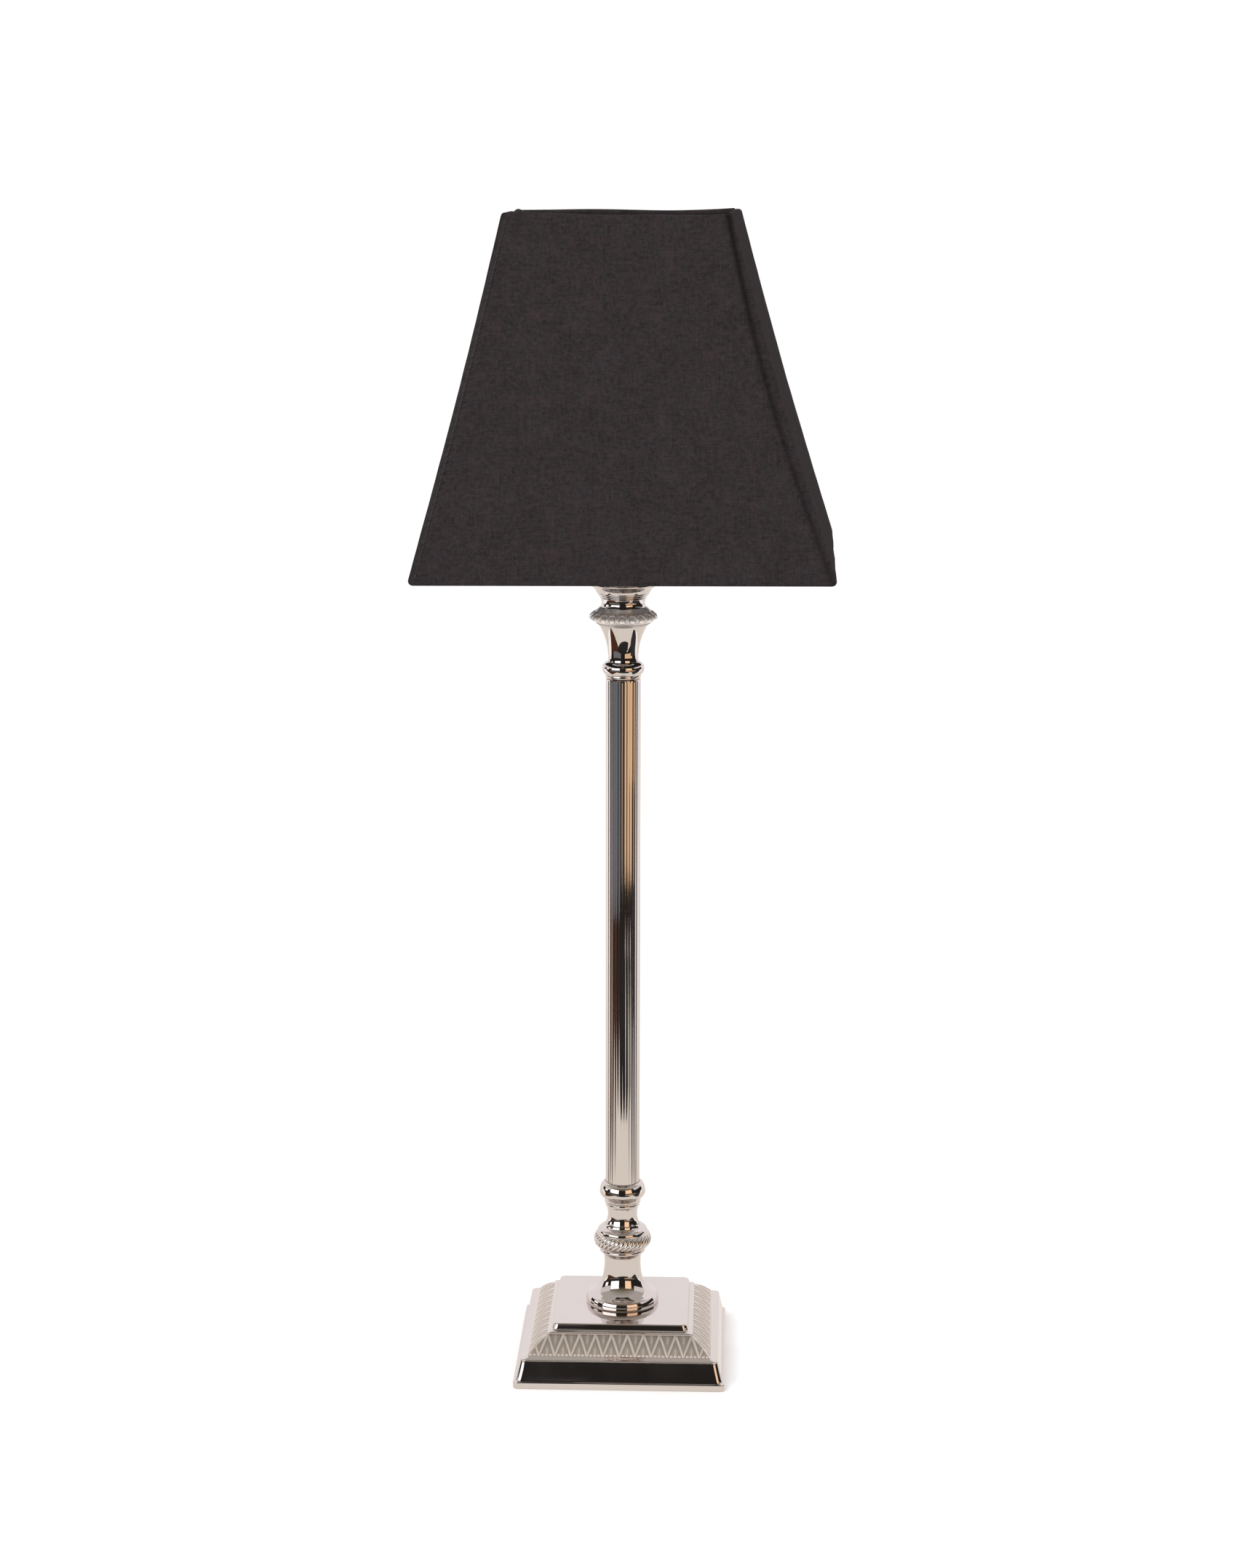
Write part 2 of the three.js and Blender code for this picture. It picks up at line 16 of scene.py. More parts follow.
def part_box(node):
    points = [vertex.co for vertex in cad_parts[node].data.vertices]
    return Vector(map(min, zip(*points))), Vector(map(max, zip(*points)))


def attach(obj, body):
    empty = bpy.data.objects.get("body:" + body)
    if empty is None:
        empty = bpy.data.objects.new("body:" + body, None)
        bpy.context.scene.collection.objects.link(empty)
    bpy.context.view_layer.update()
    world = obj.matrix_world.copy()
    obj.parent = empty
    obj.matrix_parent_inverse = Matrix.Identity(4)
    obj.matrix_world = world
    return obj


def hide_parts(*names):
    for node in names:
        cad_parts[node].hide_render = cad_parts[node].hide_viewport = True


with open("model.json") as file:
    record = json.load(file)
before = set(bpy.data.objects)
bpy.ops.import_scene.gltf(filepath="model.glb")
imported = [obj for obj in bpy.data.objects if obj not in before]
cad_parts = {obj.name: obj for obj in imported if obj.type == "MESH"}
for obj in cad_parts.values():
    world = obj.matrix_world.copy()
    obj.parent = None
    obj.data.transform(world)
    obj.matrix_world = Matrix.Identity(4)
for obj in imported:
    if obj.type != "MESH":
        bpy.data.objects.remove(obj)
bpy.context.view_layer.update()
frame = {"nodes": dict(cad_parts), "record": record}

MM = 0.001
TAU = 2 * math.pi
random.seed(7)


# ---- Sizes read from the frame, in millimetres ------------------------------------------------


def box_mm(node):
    low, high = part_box(node)
    return Vector(low) / MM, Vector(high) / MM


BASE_LOW, BASE_HIGH = box_mm("base_casting")
LIP_HALF = BASE_HIGH.x
PLATEAU_TOP = BASE_HIGH.z
SHADE_LOW, SHADE_HIGH = box_mm("shade_panel_front")
SHADE_BOTTOM, SHADE_TOP = SHADE_LOW.z, SHADE_HIGH.z
SHADE_BOTTOM_HALF = -SHADE_LOW.y
CLOTH = 0.9
SHADE_TOP_HALF = -SHADE_HIGH.y + CLOTH
SHADE_SLOPE = (SHADE_BOTTOM_HALF - SHADE_TOP_HALF) / (SHADE_TOP - SHADE_BOTTOM)
PIVOT = sum((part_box("gimbal_ring")[i][2] for i in (0, 1))) / 2 / MM


# ---- Mesh helpers -----------------------------------------------------------------------------


def add_object(name, mesh, body, material, sharp=35):
    """Links a smooth-shaded piece, keeps edges steeper than sharp degrees crisp, and rides it on a body."""
    bm = bmesh.new()
    bm.from_mesh(mesh)
    bmesh.ops.recalc_face_normals(bm, faces=bm.faces)
    bm.to_mesh(mesh)
    bm.free()
    mesh.polygons.foreach_set("use_smooth", [True] * len(mesh.polygons))
    mesh.set_sharp_from_angle(angle=math.radians(sharp))
    obj = bpy.data.objects.new(name, mesh)
    bpy.context.collection.objects.link(obj)
    mesh.materials.append(material)
    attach(obj, body)
    return obj


def loft_mesh(name, loops, ring=False):
    """Skins a list of equal closed loops of points, in millimetres. ring joins the last to the first."""
    loops = np.asarray(loops, float)
    rows, columns = loops.shape[:2]
    points = loops.reshape(-1, 3) * MM
    faces = []
    for i in range(rows if ring else rows - 1):
        a, b = i * columns, (i + 1) % rows * columns
        for j in range(columns):
            k = (j + 1) % columns
            faces.append((a + j, a + k, b + k, b + j))
    if not ring:
        faces.append(tuple(range(columns))[::-1])
        faces.append(tuple(range((rows - 1) * columns, rows * columns)))
    mesh = bpy.data.meshes.new(name)
    mesh.from_pydata([tuple(p) for p in points], [], faces)
    return mesh


def join_meshes(name, meshes):
    bm = bmesh.new()
    for mesh in meshes:
        bm.from_mesh(mesh)
        bpy.data.meshes.remove(mesh)
    whole = bpy.data.meshes.new(name)
    bm.to_mesh(whole)
    bm.free()
    return whole


COVE = 0.2  # share of its height at which a cove's two end tangents meet


def profile(start, moves, step=0.35):
    """Points (radius, height) from start along moves (kind, radius, height).

    line is straight. across leaves level and arrives upright, and upright the other way round, both as
    quarters of an ellipse. ogee leaves and arrives upright. cove sweeps in and arrives upright. bead
    bulges out in a half round. arc has a fourth value, how far its middle swells out from the straight
    line, or in where that is negative.
    """
    points = [tuple(start)]
    for kind, r1, z1, *swell in moves:
        r0, z0 = points[-1]
        reach = math.hypot(r1 - r0, z1 - z0)
        count = 1 if kind == "line" else max(5, round(1.3 * reach / step))
        for i in range(1, count + 1):
            t = i / count
            if kind == "line":
                p = (r0 + (r1 - r0) * t, z0 + (z1 - z0) * t)
            elif kind == "across":
                a = t * math.pi / 2
                p = (r0 + (r1 - r0) * math.sin(a), z1 + (z0 - z1) * math.cos(a))
            elif kind == "upright":
                a = t * math.pi / 2
                p = (r1 + (r0 - r1) * math.cos(a), z0 + (z1 - z0) * math.sin(a))
            elif kind == "ogee":
                p = (r0 + (r1 - r0) * (3 * t * t - 2 * t**3), z0 + (z1 - z0) * t)
            elif kind == "cove":
                p = (r1 + (r0 - r1) * (1 - t) ** 2, z0 + (z1 - z0) * (2 * COVE * t * (1 - t) + t * t))
            elif kind == "arc":
                rise = swell[0] * 4 * t * (1 - t) / reach
                p = (r0 + (r1 - r0) * t + (z1 - z0) * rise, z0 + (z1 - z0) * t - (r1 - r0) * rise)
            else:
                bulge = math.sin(t * math.pi) * reach / 2
                p = (r0 + (r1 - r0) * t + bulge, z0 + (z1 - z0) * (1 - math.cos(t * math.pi)) / 2)
            points.append(p)
    return points


def softened(points, radius=0.18, closed=True):
    """The same outline with its sharp corners rounded off."""
    result = []
    count = len(points)
    for i, (x, y) in enumerate(points):
        if not closed and i in (0, count - 1):
            result.append((x, y))
            continue
        before, after = Vector(points[i - 1]), Vector(points[(i + 1) % count])
        here = Vector((x, y))
        back, forth = before - here, after - here
        if back.length < 1e-6 or forth.length < 1e-6:
            continue
        turn = math.pi - back.angle(forth)
        if turn < math.radians(24):
            result.append((x, y))
            continue
        cut = min(radius, 0.42 * back.length, 0.42 * forth.length)
        a, b = here + back.normalized() * cut, here + forth.normalized() * cut
        for j in range(5):
            t = j / 4
            p = a * (1 - t) ** 2 + here * 2 * t * (1 - t) + b * t * t
            result.append((p.x, p.y))
    return result


def spread(points, step):
    """Adds points along the outline so that none are further apart than step."""
    result = []
    count = len(points)
    for i, a in enumerate(points):
        b = points[(i + 1) % count]
        pieces = max(1, math.ceil(math.hypot(b[0] - a[0], b[1] - a[1]) / step))
        for j in range(pieces):
            t = j / pieces
            result.append((a[0] + (b[0] - a[0]) * t, a[1] + (b[1] - a[1]) * t))
    return result


def round_loop(radii, angles, z):
    return np.stack([radii * np.cos(angles), radii * np.sin(angles), np.full_like(angles, z)], axis=1)


def store(mesh, name, values):
    """Keeps one number for each point of a mesh, for its material to read."""
    attribute = mesh.attributes.new(name, "FLOAT", "POINT")
    attribute.data.foreach_set("value", np.asarray(values, dtype=np.float32))


def lathe_mesh(name, points, segments=144, relief=None):
    """Turns a closed outline of (radius, height) about Z. relief(angle, radius, height) gives a new radius,
    and then the material finds in depth how far out each point stands, from 0 to 1."""
    angles = np.linspace(0, TAU, segments, endpoint=False)
    loops, depths = [], []
    for r, z in points:
        radii = relief(angles, float(r), float(z)) if relief else np.full(segments, float(r))
        depths.append(radii - float(r))
        loops.append(round_loop(radii, angles, float(z)))
    mesh = loft_mesh(name, loops, ring=True)
    if relief:
        depth = np.concatenate(depths)
        store(mesh, "depth", (depth - depth.min()) / max(1e-6, depth.max() - depth.min()))
    return mesh


def turned(node, bore, moves, body, material, relief=None, segments=144, soft=0.18, step=None):
    """A fine turning in place of a CAD node. Heights are above the node's own bottom, and the outline is
    stretched so that its widest radius and its height are the node's."""
    low, high = box_mm(node)
    outline = profile((bore, moves[0][2]), moves)
    if bore > 0:
        outline.append((bore, outline[-1][1]))
    outline = softened([p for i, p in enumerate(outline) if p != outline[i - 1]], soft)
    if step:
        outline = spread(outline, step)
    top = max(z for r, z in outline)
    bottom = min(z for r, z in outline)
    widest = max(r for r, z in outline)
    stretch = (high.z - low.z) / (top - bottom)
    points = [(r * (high.x - low.x) / 2 / widest if r > bore + 0.05 else r,
               low.z + (z - bottom) * stretch) for r, z in outline]
    mesh = lathe_mesh(node, points, segments, relief)
    piece = add_object(node + "_fine", mesh, body, material)
    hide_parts(node)
    return piece


def square_loop(half, z, radius, per_side, per_corner):
    """A square of the given half width with round corners, as points in order round +Z."""
    points = []
    flat = half - radius
    for quarter in range(4):
        turn = quarter * math.pi / 2
        nudge = min(0.35, flat / per_side)
        steps = [0.0] + [nudge + (2 * flat - 2 * nudge) * i / (per_side - 2) for i in range(per_side - 1)]
        side = [(half, -flat + step) for step in steps]
        bend = [(flat + radius * math.cos(a), flat + radius * math.sin(a))
                for a in (i * math.pi / 2 / per_corner for i in range(per_corner))]
        for x, y in side + bend:
            points.append((x * math.cos(turn) - y * math.sin(turn),
                           x * math.sin(turn) + y * math.cos(turn), z))
    return points


def tube_mesh(name, path, radius, sides=12, closed=False):
    """A round wire along points in millimetres, with flat ends unless it is closed."""
    path = [Vector(p) for p in path]
    count = len(path)
    loops = []
    normal = None
    for i, p in enumerate(path):
        if closed:
            along = (path[(i + 1) % count] - path[i - 1]).normalized()
        else:
            along = (path[min(i + 1, count - 1)] - path[max(i - 1, 0)]).normalized()
        if normal is None:
            normal = along.orthogonal().normalized()
        normal = (normal - along * normal.dot(along)).normalized()
        side = along.cross(normal)
        loops.append([p + (normal * math.cos(a) + side * math.sin(a)) * radius
                      for a in (TAU * j / sides for j in range(sides))])
    return loft_mesh(name, loops, ring=closed)


# ---- Material helpers -------------------------------------------------------------------------


class Nodes:
    """A new material with its Principled shader, and short ways to add the nodes behind it."""

    def __init__(self, name, color, roughness, metallic=0.0, **sockets):
        self.material = bpy.data.materials.new(name)
        self.material.use_nodes = True
        self.tree = self.material.node_tree
        self.shader = self.tree.nodes["Principled BSDF"]
        self.shader.inputs["Base Color"].default_value = (*color, 1)
        self.shader.inputs["Roughness"].default_value = roughness
        self.shader.inputs["Metallic"].default_value = metallic
        for socket, value in sockets.items():
            self.shader.inputs[socket.replace("_", " ")].default_value = value

    def add(self, kind, settings=None, **inputs):
        node = self.tree.nodes.new(kind)
        for key, value in (settings or {}).items():
            setattr(node, key, value)
        for socket, value in inputs.items():
            target = node.inputs[int(socket[1:])] if socket[0] == "i" and socket[1:].isdigit() else (
                node.inputs[socket.replace("_", " ")])
            if isinstance(value, bpy.types.NodeSocket):
                self.tree.links.new(value, target)
            else:
                target.default_value = value
        return node

    def link(self, output, socket):
        self.tree.links.new(output, self.shader.inputs[socket])

    def place(self, stretch=(1, 1, 1), kind="Object"):
        where = self.add("ShaderNodeTexCoord")
        mapping = self.add("ShaderNodeMapping", Vector=where.outputs[kind])
        mapping.inputs["Scale"].default_value = stretch
        return mapping.outputs["Vector"]

    def noise(self, scale, detail=2.0, roughness=0.5, vector=None, distortion=0.0):
        node = self.add("ShaderNodeTexNoise", Scale=scale, Detail=detail, Roughness=roughness,
                        Distortion=distortion)
        self.tree.links.new(vector if vector else self.place(), node.inputs["Vector"])
        return node.outputs["Fac"]

    def between(self, value, low, high, start=0.0, end=1.0):
        node = self.add("ShaderNodeMapRange", Value=value, From_Min=start, From_Max=end, To_Min=low,
                        To_Max=high)
        return node.outputs["Result"]

    def blend(self, factor, first, second):
        node = self.add("ShaderNodeMix", {"data_type": "RGBA"})
        for socket, value in ((0, factor), (6, first), (7, second)):
            if isinstance(value, bpy.types.NodeSocket):
                self.tree.links.new(value, node.inputs[socket])
            elif socket == 0:
                node.inputs[socket].default_value = value
            else:
                node.inputs[socket].default_value = (*value, 1)
        return node.outputs[2]

    def math(self, operation, first, second=0.0):
        node = self.add("ShaderNodeMath", {"operation": operation})
        for socket, value in ((0, first), (1, second)):
            if isinstance(value, bpy.types.NodeSocket):
                self.tree.links.new(value, node.inputs[socket])
            else:
                node.inputs[socket].default_value = value
        return node.outputs[0]

    def stored(self, name):
        """A number that store() kept for each point of the mesh."""
        return self.add("ShaderNodeAttribute", {"attribute_name": name}).outputs["Fac"]

    def bump(self, height, distance, strength=1.0):
        node = self.add("ShaderNodeBump", Strength=strength, Distance=distance, Height=height)
        self.link(node.outputs["Normal"], "Normal")


def nickel():
    """Polished plate: faint wipe marks in the gloss, and a very slight unevenness under it."""
    m = Nodes("nickel", (0.72, 0.665, 0.65), 0.05, 1.0)
    smear = m.noise(60, 4, 0.6, m.place((1, 1, 0.3)))
    m.link(m.between(smear, 0.03, 0.11, 0.35, 0.75), "Roughness")
    m.link(m.blend(m.noise(24, 3), (0.73, 0.675, 0.66), (0.69, 0.63, 0.60)), "Base Color")
    m.bump(m.noise(150, 2), 0.00002, 0.35)
    return m.material


def satin_nickel():
    """The cast ornament: softer gloss, fine grain, painted shade that darkens its hollows and a painted
    highlight that lightens its raised relief.
    """
    m = Nodes("satin_nickel", (0.70, 0.64, 0.60), 0.30, 0.8)
    depth = m.stored("depth")
    # painted shade in the hollows of the relief, painted highlight on its raised parts
    painted_relief_light = m.between(depth, 0.0, 1.0, 0.25, 0.9)
    m.link(m.blend(painted_relief_light, (0.25, 0.205, 0.16), (0.86, 0.775, 0.715)), "Base Color")
    m.link(m.between(m.noise(900, 3, 0.6), 0.26, 0.44), "Roughness")
    m.bump(m.noise(2200, 3, 0.65), 0.00006, 0.5)
    return m.material


def cast_nickel():
    """The small castings on the stem: as cast, then plated, so softer than the turned pieces, with a
    painted highlight on the raised relief and painted shade in its hollows.
    """
    m = Nodes("cast_nickel", (0.80, 0.76, 0.74), 0.25, 0.62)
    depth = m.stored("depth")
    # painted highlight on the raised relief, painted shade in its hollows
    painted_relief_light = m.between(depth, 0.0, 1.0, 0.05, 0.75)
    m.link(m.blend(painted_relief_light, (0.62, 0.56, 0.53), (0.98, 0.94, 0.92)), "Base Color")
    m.link(m.between(m.noise(700, 3, 0.6), 0.13, 0.3), "Roughness")
    m.bump(m.noise(1800, 3, 0.6), 0.00004, 0.4)
    return m.material


def steel():
    m = Nodes("steel", (0.56, 0.56, 0.55), 0.3, 1.0)
    turning = m.noise(300, 3, 0.6, m.place((1, 1, 6)))
    m.link(m.between(turning, 0.22, 0.42), "Roughness")
    m.bump(turning, 0.00003, 0.4)
    return m.material


def brass():
    m = Nodes("brass", (0.72, 0.50, 0.22), 0.25, 1.0)
    m.link(m.blend(m.noise(180, 4), (0.74, 0.53, 0.24), (0.50, 0.33, 0.14)), "Base Color")
    m.link(m.between(m.noise(400, 3), 0.18, 0.4), "Roughness")
    return m.material


def iron():
    m = Nodes("iron", (0.05, 0.045, 0.04), 0.8, 0.5)
    m.bump(m.noise(500, 6, 0.7), 0.0003, 0.8)
    return m.material


def felt():
    m = Nodes("felt", (0.012, 0.012, 0.013), 1.0, Sheen_Weight=0.6, Sheen_Roughness=0.6)
    fibres = m.noise(1400, 6, 0.75, m.place(), 1.5)
    m.link(m.blend(fibres, (0.006, 0.006, 0.007), (0.03, 0.03, 0.032)), "Base Color")
    m.bump(fibres, 0.0003, 0.9)
    return m.material


def moulded(name, color, roughness, metallic=0.0):
    m = Nodes(name, color, roughness, metallic)
    m.link(m.between(m.noise(250, 4), roughness * 0.8, roughness * 1.25), "Roughness")
    m.bump(m.noise(1200, 3), 0.00004, 0.4)
    return m.material


def opal_glass():
    m = Nodes("opal_glass", (0.88, 0.87, 0.84), 0.18, Subsurface_Weight=0.4, Coat_Weight=0.3)
    m.shader.inputs["Subsurface Radius"].default_value = (0.004, 0.004, 0.004)
    m.link(m.between(m.noise(90, 3), 0.14, 0.24), "Roughness")
    return m.material


def cloth(name, dark, light, pitch, sheen, relief):
    """Plain weave in the cover's own flat coordinates: threads over and under, slubs, mottling, and painted
    shade that darkens the cloth along its stored corner creases.
    """
    m = Nodes(name, dark, 0.92, Sheen_Weight=sheen, Sheen_Roughness=0.55)
    m.shader.inputs["Specular IOR Level"].default_value = 0.0
    flat = m.place(kind="UV")
    wander = m.add("ShaderNodeTexNoise", Scale=260.0, Detail=2.0, Vector=flat).outputs["Color"]
    centred = m.add("ShaderNodeVectorMath", {"operation": "SUBTRACT"}, i0=wander)
    centred.inputs[1].default_value = (0.5, 0.5, 0.5)
    small = m.add("ShaderNodeVectorMath", {"operation": "SCALE"}, i0=centred.outputs[0])
    small.inputs["Scale"].default_value = pitch * 0.5
    moved = m.add("ShaderNodeVectorMath", {"operation": "ADD"}, i0=flat, i1=small.outputs[0])
    split = m.add("ShaderNodeSeparateXYZ", Vector=moved.outputs[0])
    waves = []
    for axis in ("X", "Y"):
        turned_by = m.math("MULTIPLY", split.outputs[axis], math.pi / pitch)
        waves.append(m.math("SINE", turned_by))
    over = m.math("MULTIPLY", waves[0], waves[1])
    warp = m.math("ABSOLUTE", waves[0])
    weft = m.math("ABSOLUTE", waves[1])
    threads = m.math("MULTIPLY", m.math("ADD", warp, weft), 0.35)
    woven = m.math("ADD", m.math("MULTIPLY", over, 0.5), threads)
    slub_across = m.noise(1.0, 3, 0.6, m.place((110, 1500, 1), "UV"))
    slub_down = m.noise(1.0, 3, 0.6, m.place((1500, 110, 1), "UV"))
    slubs = m.math("MAXIMUM", slub_across, slub_down)
    mottle = m.noise(60, 4, 0.65, flat)
    flecks = m.noise(520, 3, 0.75, flat)
    tone = m.math("ADD", m.math("MULTIPLY", woven, 0.22), m.math("MULTIPLY", slubs, 0.8))
    tone = m.math("ADD", tone, m.math("MULTIPLY", mottle, 0.30))
    tone = m.math("ADD", tone, m.math("MULTIPLY", flecks, 0.85))
    plain_tone = m.blend(m.between(tone, 0.0, 1.0, 0.75, 1.45), dark, light)
    warm = m.between(m.noise(170, 3, 0.6, flat), 0.0, 0.45, 0.5, 0.72)
    tinted = m.blend(warm, plain_tone, tuple(c * k for c, k in zip(light, (1.12, 0.86, 0.86))))
    # painted shade: the cloth is darkened along the corner crease that build_cover stores
    painted_crease_shade = m.between(m.stored("crease_and_painted_shade"), 0.0, 0.75)
    m.link(m.blend(painted_crease_shade, tinted, tuple(c * 0.3 for c in dark)), "Base Color")
    height = m.math("ADD", m.math("MULTIPLY", woven, 0.8), m.math("MULTIPLY", slubs, 0.9))
    m.bump(height, relief, 0.8)
    return m.material


def powder_coat():
    m = Nodes("powder_coat", (0.02, 0.02, 0.02), 0.55)
    m.bump(m.noise(900, 4), 0.0001, 0.5)
    return m.material


NICKEL = nickel()
SATIN = satin_nickel()
CAST = cast_nickel()
STEEL = steel()
BRASS = brass()
IRON = iron()
FELT = felt()
RUBBER = moulded("rubber", (0.015, 0.015, 0.015), 0.6)
PORCELAIN = moulded("porcelain", (0.82, 0.79, 0.73), 0.22)
BLACK_GLASS = moulded("black_glass", (0.01, 0.01, 0.012), 0.12)
SOLDER = moulded("solder", (0.45, 0.45, 0.44), 0.4, 1.0)
OPAL = opal_glass()
FABRIC = cloth("shade_fabric", (0.009, 0.0076, 0.0078), (0.0405, 0.0345, 0.0352), 0.00055, 0.02, 0.00016)
LINING = cloth("shade_lining", (0.006, 0.006, 0.006), (0.016, 0.016, 0.016), 0.0004, 0.2, 0.0001)
THREAD = moulded("thread", (0.032, 0.028, 0.028), 0.8)
WIRE_COAT = powder_coat()

SLOT_MATERIALS = {
    "nickel": NICKEL, "steel": STEEL, "brass": BRASS, "iron": IRON, "felt": FELT, "rubber": RUBBER,
    "porcelain": PORCELAIN, "black_glass": BLACK_GLASS, "solder": SOLDER, "opal_glass": OPAL,
    "wire_coat": WIRE_COAT, "shade_fabric": FABRIC, "shade_lining": LINING,
}


def finish_cad_nodes():
    """Every CAD node that still shows gets its slot's material."""
    slots = {row["node"]: row["material_slot"] for row in frame["record"]["subparts"]}
    for name, node in frame["nodes"].items():
        node.data.materials.clear()
        node.data.materials.append(SLOT_MATERIALS[slots[name]])


finish_cad_nodes()


# ---- Base -------------------------------------------------------------------------------------

OGEE_TOP = 14.0
BAND_FOOT_HALF, BAND_FOOT = 46.9, 15.3
BAND_HEAD_HALF, BAND_HEAD = 37.0, 23.4
PLATEAU_HALF = 33.94
PLATE_HALF = 47.5
BASE_BORE = 5.4
WALL = 3.2
LEAVES = 9
LEAF_PITCH = 2 * BAND_HEAD_HALF / LEAVES


def hollow_face(half, lean, low, rise, sag, corner, steps):
    """Up a face that leans in by lean and sags in by sag halfway."""
    return [(half - lean * t - sag * math.sin(math.pi * t), low + rise * t, corner)
            for t in (i / steps for i in range(1, steps + 1))]


def round_edge(half, z, corner, radius=0.38, sweep=1.25, steps=5):
    """Round an outer edge, from upright until it has turned through sweep."""
    return [(half + radius * math.cos(a), z + radius * math.sin(a), corner)
            for a in (i / steps * sweep for i in range(1, steps + 1))]


def base_outline():
    """(half width, height, corner radius) up the outside of the base, then back down its hollow inside."""
    low, recess = BASE_LOW.z, BASE_LOW.z + 0.6
    steps = [
        (PLATE_HALF, recess, 2.0), (52.0, recess, 1.0), (52.0, low, 1.0), (LIP_HALF - 0.5, low, 1.8),
        (LIP_HALF - 0.12, low + 0.12, 2.0), (LIP_HALF, low + 0.5, 2.1), (LIP_HALF, 3.2, 2.1),
        (LIP_HALF - 0.12, 3.55, 2.1), (LIP_HALF - 0.45, 3.72, 2.2), (52.75, 3.75, 2.4), (52.5, 3.85, 2.6),
        (52.38, 4.1, 2.8),
    ]
    steps += hollow_face(52.38, 2.3, 4.1, OGEE_TOP - 4.1, 0.06, 3.0, 14)
    steps += round_edge(49.70, OGEE_TOP, 2.9)
    steps += [(48.8, OGEE_TOP + 0.64, 2.4), (47.6, OGEE_TOP + 0.97, 1.8), (45.8, OGEE_TOP + 1.38, 1.2)]
    steps += [(BAND_HEAD_HALF - 0.2, BAND_HEAD - 0.7, 0.8), (BAND_HEAD_HALF + 0.1, BAND_HEAD, 1.4)]
    steps += round_edge(36.72, BAND_HEAD + 0.25, 1.6)
    steps.append((36.1, 24.2, 1.8))
    cove = 1.2
    for i in range(7):  # small cove at the foot of the plateau's riser
        a = i / 6 * math.pi / 2
        steps.append((34.65 + cove * (1 - math.sin(a)), 24.3 + cove * (1 - math.cos(a)), 2.2 + 0.1 * i))
    steps += hollow_face(34.65, 0.55, 25.5, PLATEAU_TOP - 26.0, 0.04, 2.8, 8)
    steps += round_edge(PLATEAU_HALF - 0.44, PLATEAU_TOP - 0.5, 2.8, 0.5, math.pi / 2, 6)
    steps += [
        (PLATEAU_HALF - 1.2, PLATEAU_TOP, 2.0), (BASE_BORE, PLATEAU_TOP, 5.0),
        (BASE_BORE, PLATEAU_TOP - WALL, 5.0), (PLATEAU_HALF - WALL, PLATEAU_TOP - WALL, 2.0),
        (BAND_HEAD_HALF - WALL, BAND_HEAD - WALL, 2.0), (BAND_FOOT_HALF - WALL, BAND_FOOT - WALL, 2.0),
        (PLATE_HALF, BAND_FOOT - WALL, 2.0),
    ]
    return steps


def build_base():
    loops = [square_loop(half, z, radius, 6, 8) for half, z, radius in base_outline()]
    mesh = loft_mesh("base", loops, ring=True)
    base = add_object("base_casting_fine", mesh, "stand", NICKEL, 30)
    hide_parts("base_casting")


def ridge(distance, width):
    """Height 0 to 1 of a round-topped ridge, by distance from its line."""
    return np.clip(1 - (np.abs(distance) / width) ** 2, 0, 1)


def leaf_relief(x, v):
    """Relief, from 0 to 1, of upright leaves and the darts between them.

    x is millimetres along the side, and v runs from 0 at the foot of the band to 1 at its head.
    """
    cell = (x / LEAF_PITCH) % 1.0
    off = np.abs(cell - 0.5)  # 0 at a leaf's middle, 0.5 between leaves
    edge = (0.5 - 0.5 * v) - off  # the leaf's edges run from its foot to a point at the head
    mm = LEAF_PITCH * np.cos(math.atan(LEAF_PITCH / 2 / 13.4))
    rims = ridge(edge * mm, 0.95)
    leaf_vein = ridge(off * LEAF_PITCH, 0.75) * np.clip((0.62 - v) / 0.3, 0, 1)
    dart_vein = ridge((0.5 - off) * LEAF_PITCH, 0.85) * np.clip((v - 0.25) / 0.4, 0, 1)
    side_vein = ridge((np.abs(edge) - 0.20) * mm, 0.40) * 0.4 * np.clip((0.85 - v) / 0.2, 0, 1)
    foot = 13.4 * v
    from_bead = (0.125 - np.abs(off % 0.25 - 0.125)) * LEAF_PITCH  # four beads to a leaf
    beads = np.sqrt(np.clip(1 - (from_bead / 0.9) ** 2 - ((foot - 0.8) / 0.9) ** 2, 0, 1))
    border = np.maximum(np.clip(1 - foot / 0.5, 0, 1), np.clip((foot - 12.9) / 0.5, 0, 1))
    belly = 0.30 + 0.20 * np.clip(np.abs(edge) * 4, 0, 1)
    return np.maximum.reduce([rims * 0.85, leaf_vein * 0.75, dart_vein * 0.7, side_vein, beads * 1.15,
                              border * 0.7, belly])


